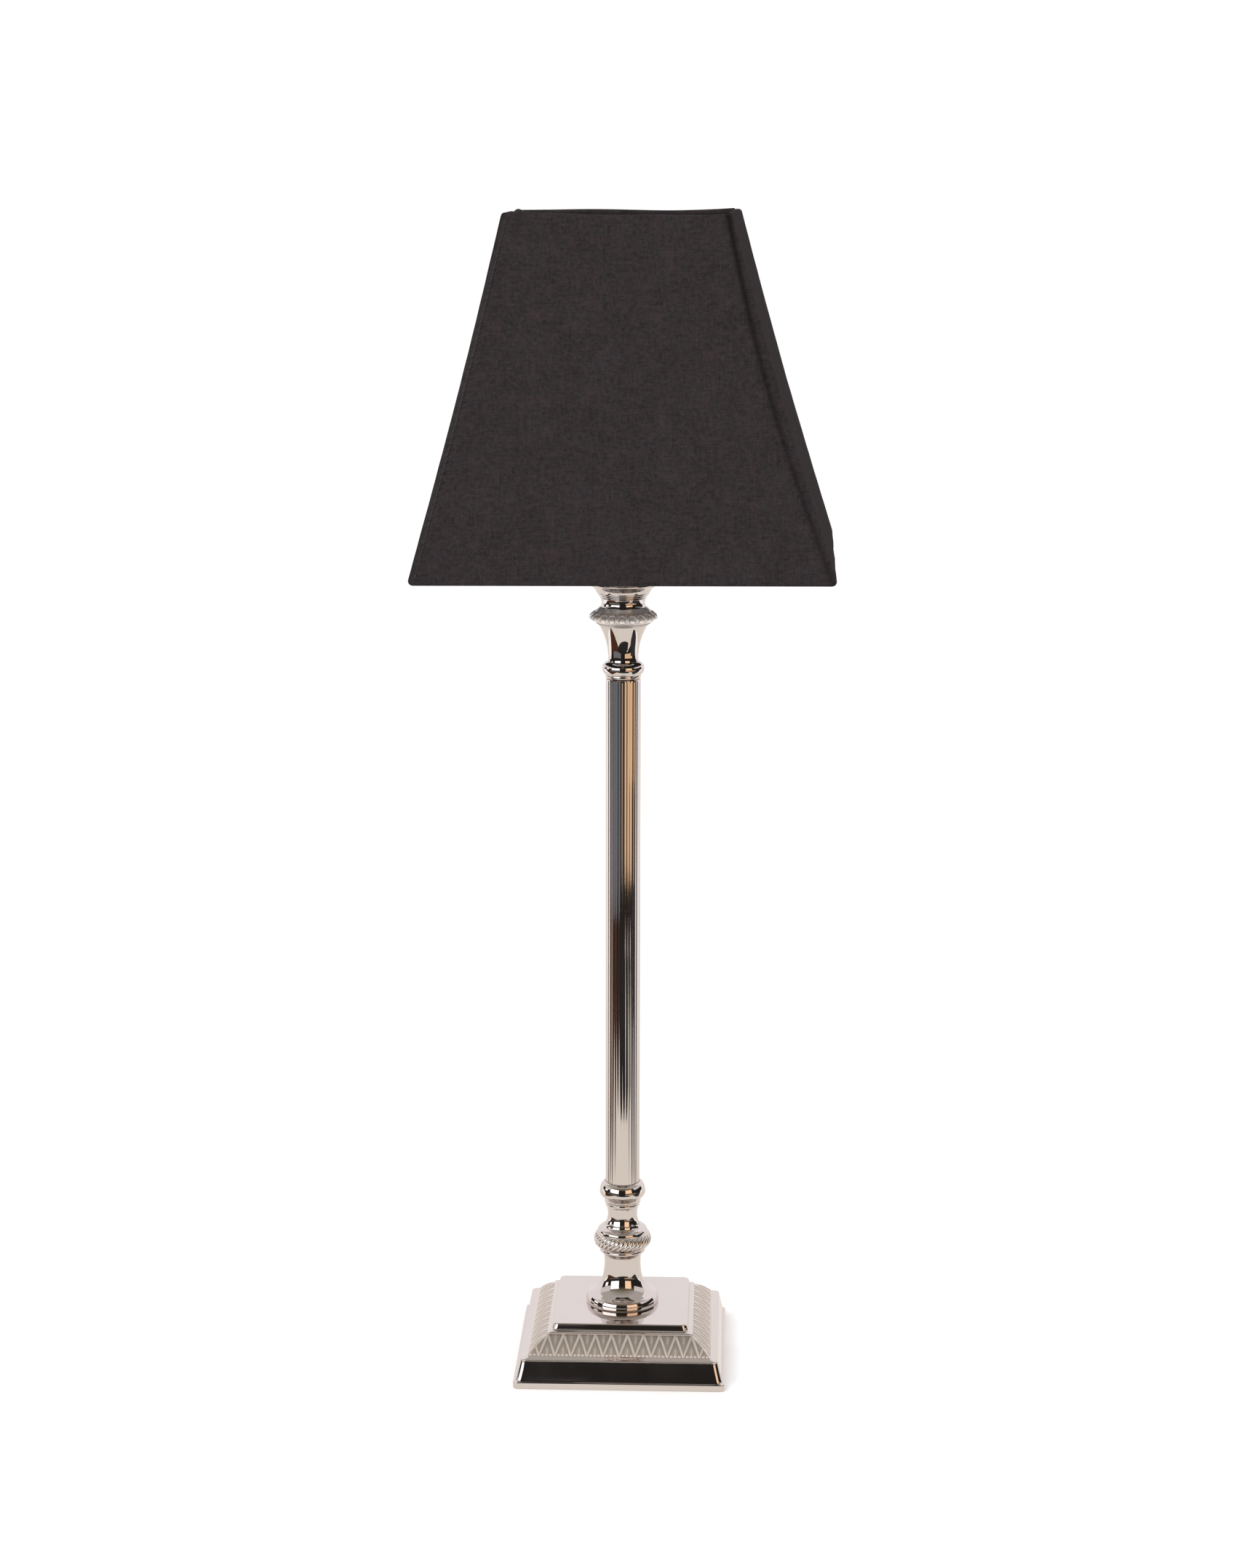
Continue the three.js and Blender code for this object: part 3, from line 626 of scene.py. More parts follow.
def build_leaf_band():
    """The cast band of leaves: a mitred frame on the slope between the two shelves of the base."""
    per_side, rows = 340, 34
    relief_height = 0.62
    slope = Vector((BAND_FOOT_HALF - BAND_HEAD_HALF, BAND_HEAD - BAND_FOOT))
    loops, depths = [], []
    for row in range(rows + 1):
        v = row / rows
        bulge = 0.7 * math.sin(math.pi * min(1, v * 1.02))
        half = BAND_FOOT_HALF - slope.x * v + bulge * 0.62
        z = BAND_FOOT + slope.y * v + bulge * 0.78
        x = np.linspace(-half, half, per_side, endpoint=False)
        mitre = ridge((half - np.abs(x)) * 0.78, 0.55)
        height = np.maximum(leaf_relief(x, np.full_like(x, v)), mitre)
        fade = np.clip(np.minimum(v, 1 - v) / 0.02, 0, 1)
        depth = height * relief_height * (0.35 + 0.65 * fade)
        normal = Vector((slope.y, slope.x)).normalized()
        loop = []
        for quarter in range(4):
            turn = quarter * math.pi / 2
            c, s = math.cos(turn), math.sin(turn)
            out = half - 0.75 + depth * normal.x
            up = z - 0.6 + depth * normal.y
            reach = x * (out / half)
            loop.append(np.stack([out * c - reach * s, out * s + reach * c, up], axis=1))
        loops.append(np.concatenate(loop))
        depths.append(np.tile(height, 4))
    backing = []
    for half, z in ((BAND_HEAD_HALF - 2.4, BAND_HEAD - 2.0), (BAND_FOOT_HALF - 2.4, BAND_FOOT - 2.0)):
        backing.append(square_loop(half, z, 0.01, per_side - 1, 1))
    mesh = loft_mesh("leaf_band", loops + backing, ring=True)
    depths.append(np.zeros(len(backing) * 4 * per_side))
    store(mesh, "depth", np.clip(np.concatenate(depths) * 1.1, 0, 1))
    add_object("leaf_band", mesh, "stand", SATIN, 60)


build_base()
build_leaf_band()


# ---- Turned stem ------------------------------------------------------------------------------

BORE = 5.3


def stem(node, moves, relief=None, segments=144, step=None, material=None):
    return turned(node, BORE, moves, "stand", material or NICKEL, relief, segments, step=step)


stem("foot_vase", [
    ("line", 18.6, 0.0), ("arc", 17.7, 4.6, 0.5), ("line", 17.3, 4.85), ("line", 16.6, 5.0),
    ("cove", 9.45, 21.0), ("arc", 9.6, 24.9, -0.05), ("arc", 10.8, 26.8, -0.35),
])

GADROONS = 32
GADROON_FOOT, GADROON_HEAD = 59.4, 65.4


def gadroons(angle, r, z):
    """Slanting lobes round the widest part of the knop, between its foot and the bead above them."""
    share = (z - GADROON_FOOT) / (GADROON_HEAD - GADROON_FOOT)
    if r < BORE + 1 or not 0 < share < 1:
        return np.full_like(angle, r)
    phase = (angle * GADROONS / TAU - share * 1.25) % 1.0
    lobe = np.sqrt(np.clip(1 - (2 * phase - 1) ** 2, 0, 1))
    ends = min(1.0, 3.2 * math.sqrt(share * (1 - share)))
    return r + (lobe - 0.75) * 0.7 * ends


stem("rope_knop", [
    ("line", 10.9, 0.0), ("arc", 11.65, 2.1, 0.55), ("line", 12.0, 2.2), ("line", 14.0, 4.4),
    ("arc", 13.3, 10.55, 1.0), ("line", 13.0, 10.6), ("arc", 9.75, 13.7, 1.15), ("line", 9.6, 13.75),
    ("arc", 8.9, 15.6, -0.12),
], gadroons, GADROONS * 14, 0.22)

stem("neck_spool", [
    ("line", 8.9, 0.0), ("arc", 7.8, 5.2, -0.35), ("arc", 8.55, 9.2, -0.14), ("line", 8.8, 9.3),
    ("arc", 8.95, 11.0, 0.22),
])
stem("lower_collar", [
    ("line", 9.05, 0.0), ("line", 9.2, 0.45), ("arc", 9.35, 1.0, 0.12), ("ogee", 11.8, 5.5),
    ("upright", 9.0, 11.3), ("line", 8.9, 11.4), ("line", 8.9, 8.4),
])
stem("upper_collar", [
    ("line", 8.75, 0.0), ("arc", 8.85, 1.4, 0.22), ("line", 9.0, 1.5), ("arc", 10.66, 4.7, 0.42),
    ("arc", 8.6, 7.9, 0.62), ("line", 8.2, 8.0),
])
stem("urn", [
    ("line", 7.75, 0.0), ("arc", 7.6, 3.2, -0.06), ("arc", 12.3, 18.4, -1.05), ("line", 12.9, 18.7),
])

BERRIES = 20
RIM_HEIGHT = 386.9
RIM = 15.9


def berries_and_leaves(angle, r, z):
    """Berries round the rim, each under an arched leaf on the slope above, with a dart between leaves."""
    if r < 13.6:
        return np.full_like(angle, r)
    pitch = TAU / BERRIES
    off = ((angle + pitch / 2) % pitch) - pitch / 2
    across = off * RIM
    along = math.hypot(z - RIM_HEIGHT, RIM - r) if z > RIM_HEIGHT else z - RIM_HEIGHT
    berry = np.sqrt(np.clip(1 - (across / 1.3) ** 2 - ((along + 0.2) / 1.7) ** 2, 0, 1)) * 0.9
    from_arch = np.hypot(across, (along - 0.1) * 0.8) - 2.05
    arch = np.clip(1 - (from_arch / 0.48) ** 2, 0, 1) * 0.8 * (along > -0.9)
    dart = np.clip(1 - ((RIM * pitch / 2 - np.abs(across)) / 0.55) ** 2, 0, 1) * 0.7
    dart = dart * np.clip(1 - ((along - 0.9) / 2.2) ** 2, 0, 1)
    beading = np.abs(np.sin(angle * BERRIES * 2)) * 0.35 * np.clip(1 - ((along + 1.9) / 0.5) ** 2, 0, 1)
    rough = 0.10 * np.sin(angle * 173 + along * 3.1) * np.clip(1 - (along / 3.2) ** 2, 0, 1)
    return r - 0.42 + rough + np.maximum.reduce([berry, arch, dart, beading])


stem("leaf_ring", [
    ("line", 12.75, 0.0), ("line", 15.8, 2.4), ("arc", 15.7, 4.9, 0.5), ("line", 11.7, 8.4),
    ("line", 11.4, 8.6),
], berries_and_leaves, BERRIES * 26, 0.16, CAST)

stem("drip_pan", [
    ("line", 11.5, 0.0), ("arc", 11.4, 4.1, -0.38), ("arc", 11.5, 4.9, 0.22), ("line", 11.95, 5.0),
    ("arc", 12.3, 6.0, 0.25), ("line", 12.75, 6.1), ("arc", 13.15, 7.1, 0.25), ("line", 13.5, 7.2),
    ("arc", 16.9, 10.6, -0.42), ("line", 17.5, 11.2), ("arc", 17.3, 12.2, 0.3), ("line", 16.8, 12.3),
    ("upright", 14.0, 9.8),
])

REEDS = 28
REED_RISE = 0.14
TUBE_BORE = 7.5


def build_column():
    """The reeded tube: round reeds that meet in narrow grooves and end in arches under the upper collar."""
    low, high = box_mm("column_tube")
    radius = high.x
    half_width = math.pi * radius / REEDS
    curve = (half_width**2 + REED_RISE**2) / (2 * REED_RISE)
    angles = np.linspace(0, TAU, REEDS * 14, endpoint=False)
    across = ((angles * REEDS / TAU) % 1.0 * 2 - 1) * half_width
    dip = curve - np.sqrt(curve**2 - across**2)
    loops = [round_loop(radius - dip, angles, low.z)]
    for i, fade in enumerate((1, 1, 0.93, 0.75, 0.45, 0)):
        loops.append(round_loop(radius - dip * fade, angles, high.z - 2.2 + 0.3 * i))
    loops += [round_loop(TUBE_BORE, angles, z) for z in (high.z, low.z)]
    column = add_object("column_tube_fine", loft_mesh("column", loops, ring=True), "stand", NICKEL,
                        50)
    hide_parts("column_tube")


build_column()


# ---- Felt, plate and grommet ------------------------------------------------------------------


def build_felt():
    low, high = box_mm("felt_pad")
    edge = 0.25
    loops = [square_loop(half, z, 1.6, 24, 6) for half, z in (
        (high.x - edge, low.z), (high.x, low.z + edge), (high.x, high.z - edge), (high.x - edge, high.z))]
    pad = add_object("felt_pad_fine", loft_mesh("felt", loops), "stand", FELT)
    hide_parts("felt_pad")


def build_grommet():
    low, high = box_mm("cable_grommet")
    centre = (low + high) / 2
    outline = softened(profile((3.2, low.y), [
        ("line", 3.9, low.y), ("line", 3.9, high.y - 1.5), ("line", 4.7, high.y - 1.5),
        ("upright", 3.7, high.y), ("line", 3.2, high.y)]), 0.25)
    mesh = lathe_mesh("grommet", outline, 64)
    mesh.transform(Matrix.Translation((0, 0, centre.z * MM)) @ Matrix.Rotation(-math.pi / 2, 4, "X"))
    ring = add_object("cable_grommet_fine", mesh, "stand", RUBBER)
    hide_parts("cable_grommet")


build_felt()
build_grommet()


# ---- Lampholder, ring and bulb ----------------------------------------------------------------


def thread(outer, depth, pitch, low, high):
    """A relief that cuts a right-handed screw thread into the outline's widest wall between two heights."""

    def cut(angle, r, z):
        if r < outer - 0.25 or not low < z < high:
            return np.full_like(angle, r)
        phase = (z / pitch - angle / TAU) % 1.0
        groove = np.abs(2 * phase - 1)
        fade = min(1.0, (z - low) / 0.8, (high - z) / 0.8)
        return r - depth * fade * groove**1.3

    return cut


turned("lampholder_cap", BORE, [
    ("line", 10.0, 0.0), ("across", 13.0, 4.0), ("line", 13.0, 12.6), ("bead", 13.0, 13.8),
    ("line", 13.0, 15.7), ("line", 12.0, 15.7), ("line", 12.0, 4.0), ("upright", 10.0, 1.2),
], "stand", NICKEL)
SKIRT_LOW, SKIRT_HIGH = box_mm("lampholder_skirt")
SHOULDER = SKIRT_LOW.z + 14.4
turned("lampholder_skirt", 11.6, [
    ("line", 13.4, 0.0), ("line", 13.4, 11.0), ("upright", 17.0, 12.4), ("line", 17.0, 14.4),
    ("line", 13.9, 14.4), ("line", 13.9, 33.4), ("line", 13.1, 34.2), ("line", 8.8, 34.2),
    ("line", 8.8, 32.6),
], "stand", NICKEL, thread(13.9, 0.5, 2.0, SHOULDER + 0.6, SKIRT_HIGH.z - 1.0), 120, step=0.22)


def knurl(angle, r, z):
    """Fine upright ribs round the grip of the ring nut."""
    if r < 15.9 or r > 16.6:
        return np.full_like(angle, r)
    return r - 0.32 * np.abs(np.sin(angle * 30)) ** 1.5


turned("shade_ring_nut", 14.3, [
    ("line", 17.4, 0.0), ("line", 17.4, 1.3), ("line", 16.2, 1.9), ("line", 16.2, 9.3),
    ("line", 15.5, 10.0), ("line", 14.9, 10.0),
], "ring_nut", NICKEL, knurl, 360, step=1.2)
turned("shade_ring_washer", 14.3, [("line", 17.6, 0.0), ("line", 17.6, 0.8)], "ring_washer", STEEL)
CAP_LOW, CAP_HIGH = box_mm("bulb_cap")
turned("bulb_cap", 6.3, [("line", 6.5, 0.0), ("across", 6.95, 1.2), ("line", 6.95, 19.0)], "bulb", BRASS,
       thread(6.95, 0.45, 2.822, CAP_LOW.z + 1.2, CAP_HIGH.z - 3.0), 96, step=0.25)


def build_bulb_glass():
    low, high = box_mm("bulb_glass")
    widest = high.x
    outside = profile((5.0, low.z), [
        ("line", 6.1, low.z), ("line", 6.1, low.z + 6.6), ("upright", 7.3, low.z + 8.4),
        ("ogee", widest, low.z + 38.0), ("ogee", 8.0, low.z + 68.0), ("upright", 0.3, high.z)], 1.0)
    inside = [(max(0.2, r - 1.0), z - 0.6) for r, z in outside[4:]][::-1]
    mesh = lathe_mesh("bulb_glass", outside + inside, 96)
    glass = add_object("bulb_glass_fine", mesh, "bulb", OPAL, 60)
    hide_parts("bulb_glass")


build_bulb_glass()


# ---- Tilting shade fitting --------------------------------------------------------------------

turned("gimbal_ring", 14.3, [("line", 19.0, 0.0), ("line", 19.0, 2.0)], "shade_fitting", NICKEL,
       soft=0.4)

KNEE = 34.0
EYE_DROP = 2.6


def smooth_path(corners, step=1.0, bend=5.0):
    """Straight stretches through the corners, with each bend rounded."""
    rounded = softened(corners, bend, closed=False)
    path = []
    for a, b in zip(rounded, rounded[1:]):
        pieces = max(1, math.ceil(math.hypot(b[0] - a[0], b[1] - a[1]) / step))
        path += [(a[0] + (b[0] - a[0]) * i / pieces, a[1] + (b[1] - a[1]) * i / pieces)
                 for i in range(pieces)]
    return path + [rounded[-1]]


def build_arm(node, facing):
    """A flat eye on its pin, and a wire that drops from it to the bottom wire of the shade."""
    low, high = box_mm(node)
    far = high.y if facing > 0 else -low.y
    near = low.y if facing > 0 else -high.y
    end_height = low.z + 1.3
    route = smooth_path([(near + 1.0, PIVOT - EYE_DROP), (KNEE, PIVOT - EYE_DROP), (far, end_height)])
    wire = tube_mesh(node, [(0, facing * y, z) for y, z in route], 1.25, 16)
    eye = lathe_mesh(node + "_eye", softened([(1.17, near), (3.0, near), (3.0, near + 2), (1.17, near + 2)],
                                             0.35), 48)
    eye.transform(Matrix.Translation((0, 0, PIVOT * MM)) @ Matrix.Rotation(-facing * math.pi / 2, 4, "X"))
    arm = add_object(node + "_fine", join_meshes(node, [wire, eye]), "shade", NICKEL)
    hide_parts(node)


def build_pin(node, facing):
    low, high = box_mm(node)
    near, far = (low.y, high.y) if facing > 0 else (-high.y, -low.y)
    outline = softened(profile((0.02, near), [
        ("line", 1.05, near), ("line", 1.05, far - 1.3), ("line", 1.5, far - 1.3),
        ("upright", 0.02, far)]), 0.12)
    mesh = lathe_mesh(node, outline, 40)
    mesh.transform(Matrix.Translation((0, 0, PIVOT * MM)) @ Matrix.Rotation(-facing * math.pi / 2, 4, "X"))
    piece = add_object(node + "_fine", mesh, "shade_fitting", STEEL)
    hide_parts(node)


for build, node in ((build_arm, "shade_arm_"), (build_pin, "gimbal_pin_")):
    build(node + "rear", 1)
    build(node + "front", -1)


# ---- Shade ------------------------------------------------------------------------------------

WIRE = 1.2
LEAN = math.hypot(1, SHADE_SLOPE)
ROLL = WIRE + CLOTH  # outer radius of the cloth rolled round a wire
CORNER = 3.4
HEM = 7.0
SEAM_WIDTH = 5.2
SEAM_RISE = 0.35  # the cloth lies double along the seam
FRONT = 3  # the sides are numbered round +Z, from +X
SIDE_PITCH = 300  # each side's weave and ripples start this much further along the flat cloth
HOLLOW = 1.1  # how far the cloth draws in between the two wires, corners included
SOFTER = 3.2  # how much rounder its corners are halfway up than on the wires
CREASE_IN = -1.5  # a shallow crease, darkened with painted shade, runs up each corner, this far before the end of the flat cloth
CREASE_WIDTH = 1.5
CREASE_DEPTH = 0.35


def out_of_true(points):
    """The soft frame hangs a few millimetres out of true: pushed along X at the foot, twisted towards the
    top, and with the two left corners of the top pulled about."""
    moved = []
    for x, y, z in points:
        share = (z - SHADE_BOTTOM) / (SHADE_TOP - SHADE_BOTTOM)
        turn = math.radians(-1.1 - 1.4 * share)
        c, s = math.cos(turn), math.sin(turn)
        head = max(0.0, -x) / SHADE_TOP_HALF * max(0.0, share) ** 3
        drawn = 4.5 * head * max(0.0, y) / SHADE_TOP_HALF - 1.2 * head * max(0.0, -y) / SHADE_TOP_HALF
        lifted = 1.1 * head * max(0.0, -y) / SHADE_TOP_HALF
        lifted += 1.2 * (max(0.0, x) / SHADE_TOP_HALF * max(0.0, share)) ** 4
        moved.append((x * c - y * s + 4.5 * (1 - share) - drawn, x * s + y * c,
                      z + (0.0072 * x) * (1 - 1.25 * share) + lifted))
    return moved


def hollow(share):
    return HOLLOW * math.sin(math.pi * max(0.0, min(1.0, share)))


def cover_outline():
    """(distance in from the outer face, distance up the slope) along the cloth, from the folded hem inside
    the bottom, round the bottom wire, up the outside, round the top wire and down to the hem inside."""
    length = (SHADE_TOP - SHADE_BOTTOM) * LEAN
    inner = 2 * ROLL - 0.15
    points = [(inner, HEM * (1 - i / 6) + ROLL * i / 6) for i in range(6)]
    points += [(ROLL + ROLL * math.cos(a), ROLL - ROLL * math.sin(a)) for a in np.linspace(0, math.pi, 13)]
    points += [(0.0, s) for s in np.linspace(ROLL, length - ROLL, 76)[1:-1]]
    points += [(ROLL - ROLL * math.cos(a), length - ROLL + ROLL * math.sin(a))
               for a in np.linspace(0, math.pi, 13)]
    points += [(inner, length - ROLL - (HEM - ROLL) * i / 6) for i in range(1, 7)]
    return points, length


def wave(x, y, z, size):
    """Smooth noise from about -1 to 1."""
    return noise.noise(Vector((x / size, y / size, z / size)))


def to_side(x, y, turn):
    """(out, along): how far out from the stem a point stands, and how far along its side."""
    return x * math.cos(turn) + y * math.sin(turn), -x * math.sin(turn) + y * math.cos(turn)


def from_side(out, along, turn):
    return out * math.cos(turn) - along * math.sin(turn), out * math.sin(turn) + along * math.cos(turn)


def cloth_mesh(name, loops, block, flat):
    """Skins rows of points and moves them out of true. block is the number of points to a side, and
    flat(side, along, height, row) gives the flat coordinates, in millimetres, that the weave follows."""
    loops = np.array(loops)
    rows, columns = loops.shape[:2]
    mesh = bpy.data.meshes.new(name)
    faces = [(i * columns + j, i * columns + (j + 1) % columns, (i + 1) * columns + (j + 1) % columns,
              (i + 1) * columns + j) for i in range(rows - 1) for j in range(columns)]
    trued = out_of_true(loops.reshape(-1, 3))
    mesh.from_pydata([(x * MM, y * MM, z * MM) for x, y, z in trued], [], faces)
    uv = mesh.uv_layers.new(name="UVMap")
    for face in mesh.polygons:
        row, column = divmod(face.index, columns)
        side = column // block
        for corner, (di, dj) in zip(face.loop_indices, ((0, 0), (0, 1), (1, 1), (1, 0))):
            x, y, z = loops[row + di, (column + dj) % columns]
            along = to_side(x, y, side * math.pi / 2)[1]
            uv.data[corner].uv = [mm * MM for mm in flat(side, along, z, row + di)]
    return mesh


def thicken(piece, thickness):
    thick = piece.modifiers.new("cloth thickness", "SOLIDIFY")
    thick.thickness = thickness * MM
    thick.offset = -1


def build_cover():
    """The cover: one cloth stretched round the frame, rolled over its wires and sewn at the front left."""
    outline, length = cover_outline()
    per_side, per_corner = 84, 12
    block = per_side + per_corner
    loops = []
    crease_painted_shade_values = []
    for inset, s in outline:
        share = s / length
        z = SHADE_BOTTOM + (s - SHADE_SLOPE * inset) / LEAN
        half = SHADE_BOTTOM_HALF - SHADE_SLOPE * (s / LEAN) - inset / LEAN - hollow(share)
        radius = max(0.4, CORNER + SOFTER * hollow(share) / HOLLOW - inset * 0.9)
        loop = square_loop(half, z, radius, per_side, per_corner)
        on_face = max(0.0, 1 - inset / ROLL)
        drawn = []
        for index, (x, y, h) in enumerate(loop):
            side = index // block
            turn = side * math.pi / 2
            out, along = to_side(x, y, turn)
            across = max(-1.0, min(1.0, along / half))
            slack = (1 - across**2) * math.sin(math.pi * share) ** 0.7 if 0 < share < 1 else 0
            pull = 0.9 * slack + 0.28 * wave(along + SIDE_PITCH * side, 0, s, 34) * (1 - across**4)
            pull += 0.10 * wave(along + SIDE_PITCH * side, 7, s, 9)
            on_seam = side == FRONT and -half + 1.0 < along < -half + CORNER + SEAM_WIDTH
            shift = -pull * (0.25 + 0.75 * on_face) + SEAM_RISE * on_seam * on_face
            edge = wave(along, 3 + 5 * side, 0, 38) * 0.55 * max(0.0, 2 * share - 1)
            rise = edge * abs(2 * share - 1) ** 6
            from_corner = half - radius - along
            # the crease is a shallow groove, and the same values give the painted shade that the fabric
            # darkens along it
            crease_and_painted_shade = math.exp(-((from_corner - CREASE_IN) / CREASE_WIDTH) ** 2) * (0.45 + 0.55 * share)
            shift -= CREASE_DEPTH * crease_and_painted_shade * on_face
            crease_painted_shade_values.append(crease_and_painted_shade)
            drawn.append((*from_side(out + shift / LEAN, along, turn), h + rise))
        loops.append(drawn)
    mesh = cloth_mesh("shade_cover", loops, block,
                      lambda side, along, z, row: (along + SIDE_PITCH * side, outline[row][1]))
    # kept for the fabric's painted shade along the corner creases
    store(mesh, "crease_and_painted_shade", crease_painted_shade_values)
    cover = add_object("shade_cover", mesh, "shade", FABRIC, 60)
    thicken(cover, 0.5)
    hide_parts("shade_panel_front", "shade_panel_right", "shade_panel_rear", "shade_panel_left")
    return length


COVER_LENGTH = build_cover()


def build_stitches():
    """The row of stitches up the front face, beside the seam at the front left corner."""
    spacing, length, radius = 2.7, 1.9, 0.22
    meshes = []
    count = int((COVER_LENGTH - 2 * ROLL) / spacing)
    for i in range(count):
        s = ROLL + 1.0 + i * spacing
        half = SHADE_BOTTOM_HALF - SHADE_SLOPE * s / LEAN - hollow(s / COVER_LENGTH)
        x = -half + 3.3 + random.uniform(-0.12, 0.12)
        ends = []
        for step in range(5):
            t = step / 4
            rise = s + length * t
            lift = 0.36 + 0.16 * math.sin(math.pi * t)
            y = -(SHADE_BOTTOM_HALF - SHADE_SLOPE * rise / LEAN - hollow(rise / COVER_LENGTH) + lift / LEAN)
            ends.append((x + SHADE_SLOPE * length * t / LEAN + 0.15 * t, y, SHADE_BOTTOM + rise / LEAN))
        meshes.append(tube_mesh("stitch", out_of_true(ends), radius, 8))
    add_object("shade_stitches", join_meshes("stitches", meshes), "shade", THREAD)


build_stitches()


def wire_half(z):
    return SHADE_BOTTOM_HALF - SHADE_SLOPE * (z - SHADE_BOTTOM) - (ROLL + 0.1) * LEAN


def build_frame_wires():
    for node in ("shade_bottom_wire", "shade_top_wire"):
        low, high = box_mm(node)
        z = (low.z + high.z) / 2
        path = out_of_true(square_loop((high.x - low.x) / 2 - WIRE, z, 3.0, 8, 8))
        mesh = tube_mesh(node, path, WIRE, 14, closed=True)
        wire = add_object(node + "_fine", mesh, "shade", WIRE_COAT)
        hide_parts(node)
    for i, (sx, sy) in enumerate(((1, 1), (-1, 1), (-1, -1), (1, -1))):
        node = f"shade_corner_wire_{i + 1}"
        low, high = box_mm(node)
        path = []
        for share in np.linspace(0, 1, 12):
            z = low.z + 0.3 + (high.z - low.z - 0.6) * share
            half = wire_half(z) - 0.9 - 1.5 * hollow(share) / HOLLOW  # bowed in behind the softer corner
            path.append((sx * half, sy * half, z))
        mesh = tube_mesh(node, out_of_true(path), WIRE, 14)
        wire = add_object(node + "_fine", mesh, "shade", WIRE_COAT)
        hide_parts(node)


build_frame_wires()


def build_lining():
    """Thin black cloth inside the frame, drawn in a little between the corners."""
    low, high = box_mm("shade_lining")
    rows, per_side, per_corner = 40, 48, 5
    block = per_side + per_corner
    loops = []
    for row in range(rows + 1):
        share = row / rows
        z = low.z + (high.z - low.z) * share
        half = high.x - SHADE_SLOPE * (z - low.z) - hollow(share)
        radius = 3.0 + 2.5 * math.sin(math.pi * share)
        loop = []
        for index, (x, y, h) in enumerate(square_loop(half, z, radius, per_side, per_corner)):
            side = index // block
            turn = side * math.pi / 2
            out, along = to_side(x, y, turn)
            across = max(-1.0, min(1.0, along / half))
            out -= 0.9 * (1 - across**2) + 0.25 * wave(along, 11 * side, h, 22)
            loop.append((*from_side(out, along, turn), h))
        loops.append(loop)
    mesh = cloth_mesh("shade_lining", loops, block, lambda side, along, z, row: (along, z * LEAN))
    sheet = add_object("shade_lining_fine", mesh, "shade", LINING, 60)
    thicken(sheet, 0.35)
    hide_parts("shade_lining")


build_lining()


# ---- Stage: floor, room, light and camera -----------------------------------------------------


def glowing(name, color):
    """A card that shines with the given colour and reflects nothing."""
    m = Nodes(name, (0, 0, 0), 1.0)
    m.shader.inputs["Specular IOR Level"].default_value = 0.0
    m.shader.inputs["Emission Color"].default_value = (*color, 1)
    m.shader.inputs["Emission Strength"].default_value = 1.0
    return m


def graded(name, axis, start, end, first, last):
    """The same, with a colour that goes from first at start to last at end, in metres along one axis."""
    m = glowing(name, first)
    split = m.add("ShaderNodeSeparateXYZ", Vector=m.place())
    share = m.between(split.outputs[axis], 0.0, 1.0, start, end)
    m.link(m.blend(share, first, last), "Emission Color")
    return m


def card(name, corners, finish, faces=None):
    """A stage card, in a colour that it shines with or in a finish made above."""
    finish = glowing(name, finish) if isinstance(finish, tuple) else finish
    mesh = bpy.data.meshes.new(name)
    mesh.from_pydata(corners, [], faces or [tuple(range(len(corners)))])
    mesh.materials.append(finish.material)
    obj = bpy.data.objects.new(name, mesh)
    bpy.context.collection.objects.link(obj)
    return obj


def mirrored_card(name, corners, finish, faces=None):
    """A card that only reflections see."""
    obj = card(name, corners, finish, faces)
    obj.visible_camera = False
    obj.visible_diffuse = False
    obj.visible_shadow = False
    obj.visible_transmission = False


def arc_card(name, start, end, radius, low, high, finish, steps=24):
    """A curved upright card between two compass angles, 0 straight in front of the lamp, + to its right."""
    points = []
    for i in range(steps + 1):
        a = math.radians(start + (end - start) * i / steps)
        x, y = radius * math.sin(a), -radius * math.cos(a)
        points += [(x, y, low), (x, y, high)]
    faces = [(2 * i, 2 * i + 2, 2 * i + 3, 2 * i + 1) for i in range(steps)]
    mirrored_card(name, points, finish, faces)


def floor_patch(name, height, color, outline):
    """A flat card just above the floor, from its corners (x, y) in metres."""
    mirrored_card(name, [(x, y, height) for x, y in outline], color)


def polar(*places):
    """Points (x, y) from pairs (compass angle, distance)."""
    return [(r * math.sin(math.radians(a)), -r * math.cos(math.radians(a))) for a, r in places]


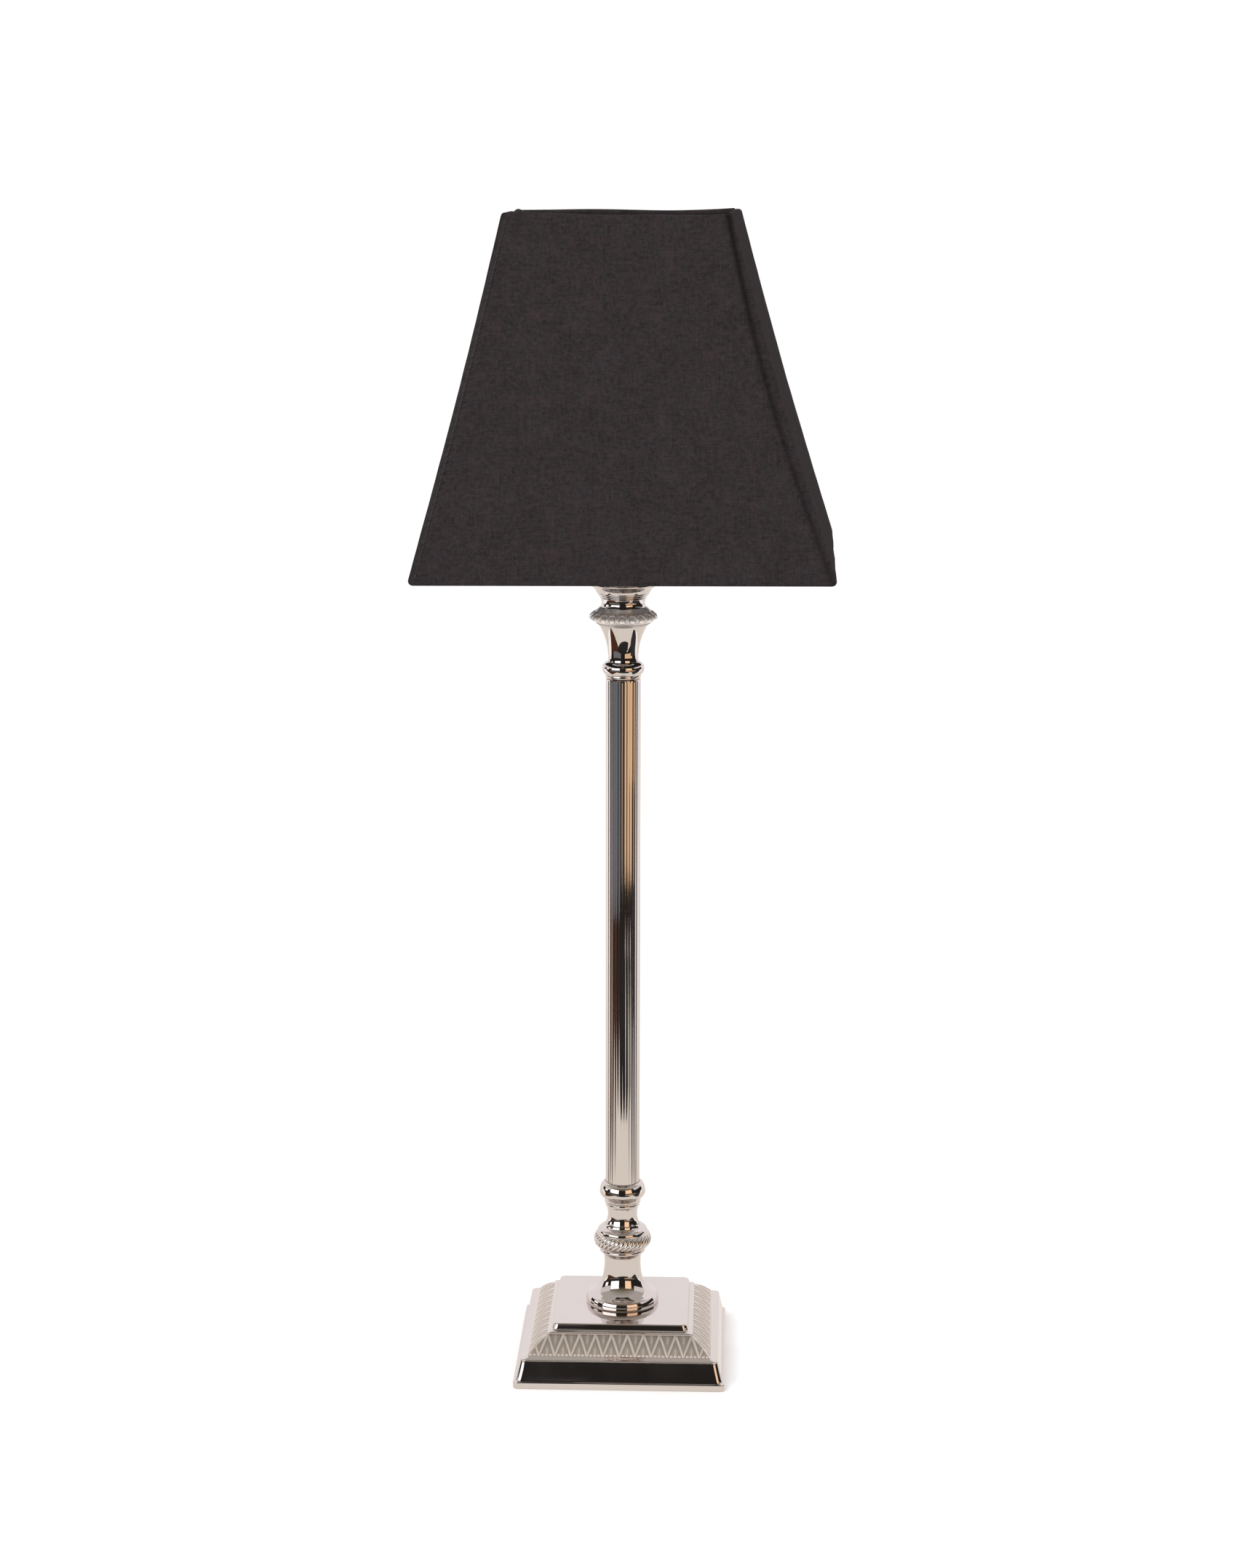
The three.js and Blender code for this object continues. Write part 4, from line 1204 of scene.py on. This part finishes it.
def build_stage():
    """A pale floor, and the studio that the bright metal mirrors: a pale table top with a darker room in
    front of it, two windows in the room's wall, a white screen behind, and a grey ceiling."""
    far = 14.0
    card("floor", [(-far, -far, 0), (far, -far, 0), (far, far, 0), (-far, far, 0)],
         Nodes("floor", (0.98, 0.98, 0.98), 0.9))
    floor_patch("room_floor", 0.00004, (0.022, 0.018, 0.015),
                [(-4, -4), (4, -4), (4, 1.3), (0.5, 0.0), (-0.5, 0.02), (-4, 0.9)])
    floor_patch("wood_left", 0.00007, (0.085, 0.035, 0.018),
                [(-0.25, 0.01), (-0.8, 0.05), (-1.4, -0.1), (-1.4, -0.9), (-0.36, -0.6)])
    floor_patch("box_right", 0.00022, (0.045, 0.042, 0.045),
                [(0.29, -0.01), (0.33, -0.14), (0.50, -0.30), (1.3, -0.75), (1.5, 0.3), (0.6, 0.1)])
    floor_patch("rug_grey", 0.00010, (0.19, 0.20, 0.22),
                polar((-76, 1.05), (-16, 1.05), (-16, 2.5), (-76, 2.5)))
    floor_patch("wood_warm", 0.00010, (0.92, 0.62, 0.38),
                polar((14, 1.08), (42, 1.08), (72, 1.08), (72, 2.5), (42, 2.5), (14, 2.5)))
    floor_patch("table", 0.00014, (0.90, 0.85, 0.78),
                [(-2.5, 3.0), (-0.60, 0.25), (-0.26, 0.0), (-0.33, -0.26), (-0.37, -0.54), (0.50, -0.78),
                 (0.49, -0.34), (0.36, -0.21), (0.24, -0.05), (0.60, 0.25), (2.5, 3.0)])
    floor_patch("shadow", 0.00018, (0.028, 0.027, 0.026),
                polar((-20, 0.46), (-4, 0.41), (24, 0.41), (40, 0.47), (35, 0.8), (0, 1.0), (-44, 0.80)))
    room_dark = graded("room_dark", "Z", 1.3, 2.2, (0.022, 0.020, 0.019), (0.17, 0.145, 0.095))
    arc_card("room_wall", -66, 66, 3.2, 0.0, 2.3, room_dark)
    arc_card("side_wall_left", -116, -66, 3.2, 0.0, 0.95, room_dark)
    arc_card("side_wall_right", 66, 118, 3.2, 0.0, 1.05, room_dark)
    arc_card("side_screen_left", -119, -66, 3.2, 0.95, 2.3, (0.80, 0.76, 0.74))
    arc_card("side_screen_right", 66, 119, 3.2, 1.05, 2.3, (0.80, 0.76, 0.74))
    mirrored_card("figure", [(-0.235, -3.05, 0.30), (-0.165, -3.05, 0.28), (-0.155, -3.05, 0.55),
                             (-0.225, -3.05, 0.58)], (0.085, 0.085, 0.090))
    arc_card("screen", 121, 241, 1.9, 0.0, 2.3, (0.99, 0.955, 0.965))
    mirrored_card("ceiling", [(-6, -6, 2.3), (6, -6, 2.3), (6, 6, 2.3), (-6, 6, 2.3)],
                  graded("ceiling", "Y", -3.0, -0.6, (0.20, 0.17, 0.115), (0.50, 0.475, 0.44)))
    arc_card("window_white", -63, -18, 3.1, 0.26, 1.80, (2.0, 2.0, 2.0))
    arc_card("window_warm", 17, 50, 3.1, 0.26, 1.75, (1.30, 0.90, 0.58))
    arc_card("window_side", -98, -82, 3.1, 0.26, 0.85, (1.5, 1.45, 1.35))


build_stage()


def add_area(name, place, target, size, power):
    light = bpy.data.lights.new(name, "AREA")
    light.shape = "DISK"
    light.size = size
    light.energy = power
    obj = bpy.data.objects.new(name, light)
    bpy.context.collection.objects.link(obj)
    obj.location = place
    obj.rotation_euler = (Vector(target) - Vector(place)).to_track_quat("-Z", "Y").to_euler()
    obj.visible_glossy = False


def build_light():
    world = bpy.data.worlds.new("studio")
    bpy.context.scene.world = world
    world.use_nodes = True
    world.node_tree.nodes["Background"].inputs["Color"].default_value = (1.0, 0.985, 0.985, 1)
    world.node_tree.nodes["Background"].inputs["Strength"].default_value = 1.05
    add_area("key", (-1.6, -1.8, 2.4), (0, 0, 0.35), 1.8, 42)
    add_area("fill", (1.8, -1.2, 1.2), (0, 0, 0.3), 1.5, 4)
    bpy.context.scene.view_settings.view_transform = "Standard"


build_light()


def build_camera():
    """At the height and distance that show the lamp's taper and foreshortening as it is, a little to its
    right, so that the shade's right side just shows."""
    data = bpy.data.cameras.new("camera")
    data.sensor_fit = "VERTICAL"
    data.sensor_height = 36.0
    data.lens = 70.15
    camera = bpy.data.objects.new("camera", data)
    bpy.context.collection.objects.link(camera)
    aside, distance, height = math.radians(2.0), 1.5, 0.6171
    camera.location = Matrix.Rotation(aside, 3, "Z") @ Vector((0.0017, -distance, height))
    camera.rotation_euler = (math.radians(90 - 11.87), math.radians(-0.09), aside)
    bpy.context.scene.camera = camera


build_camera()
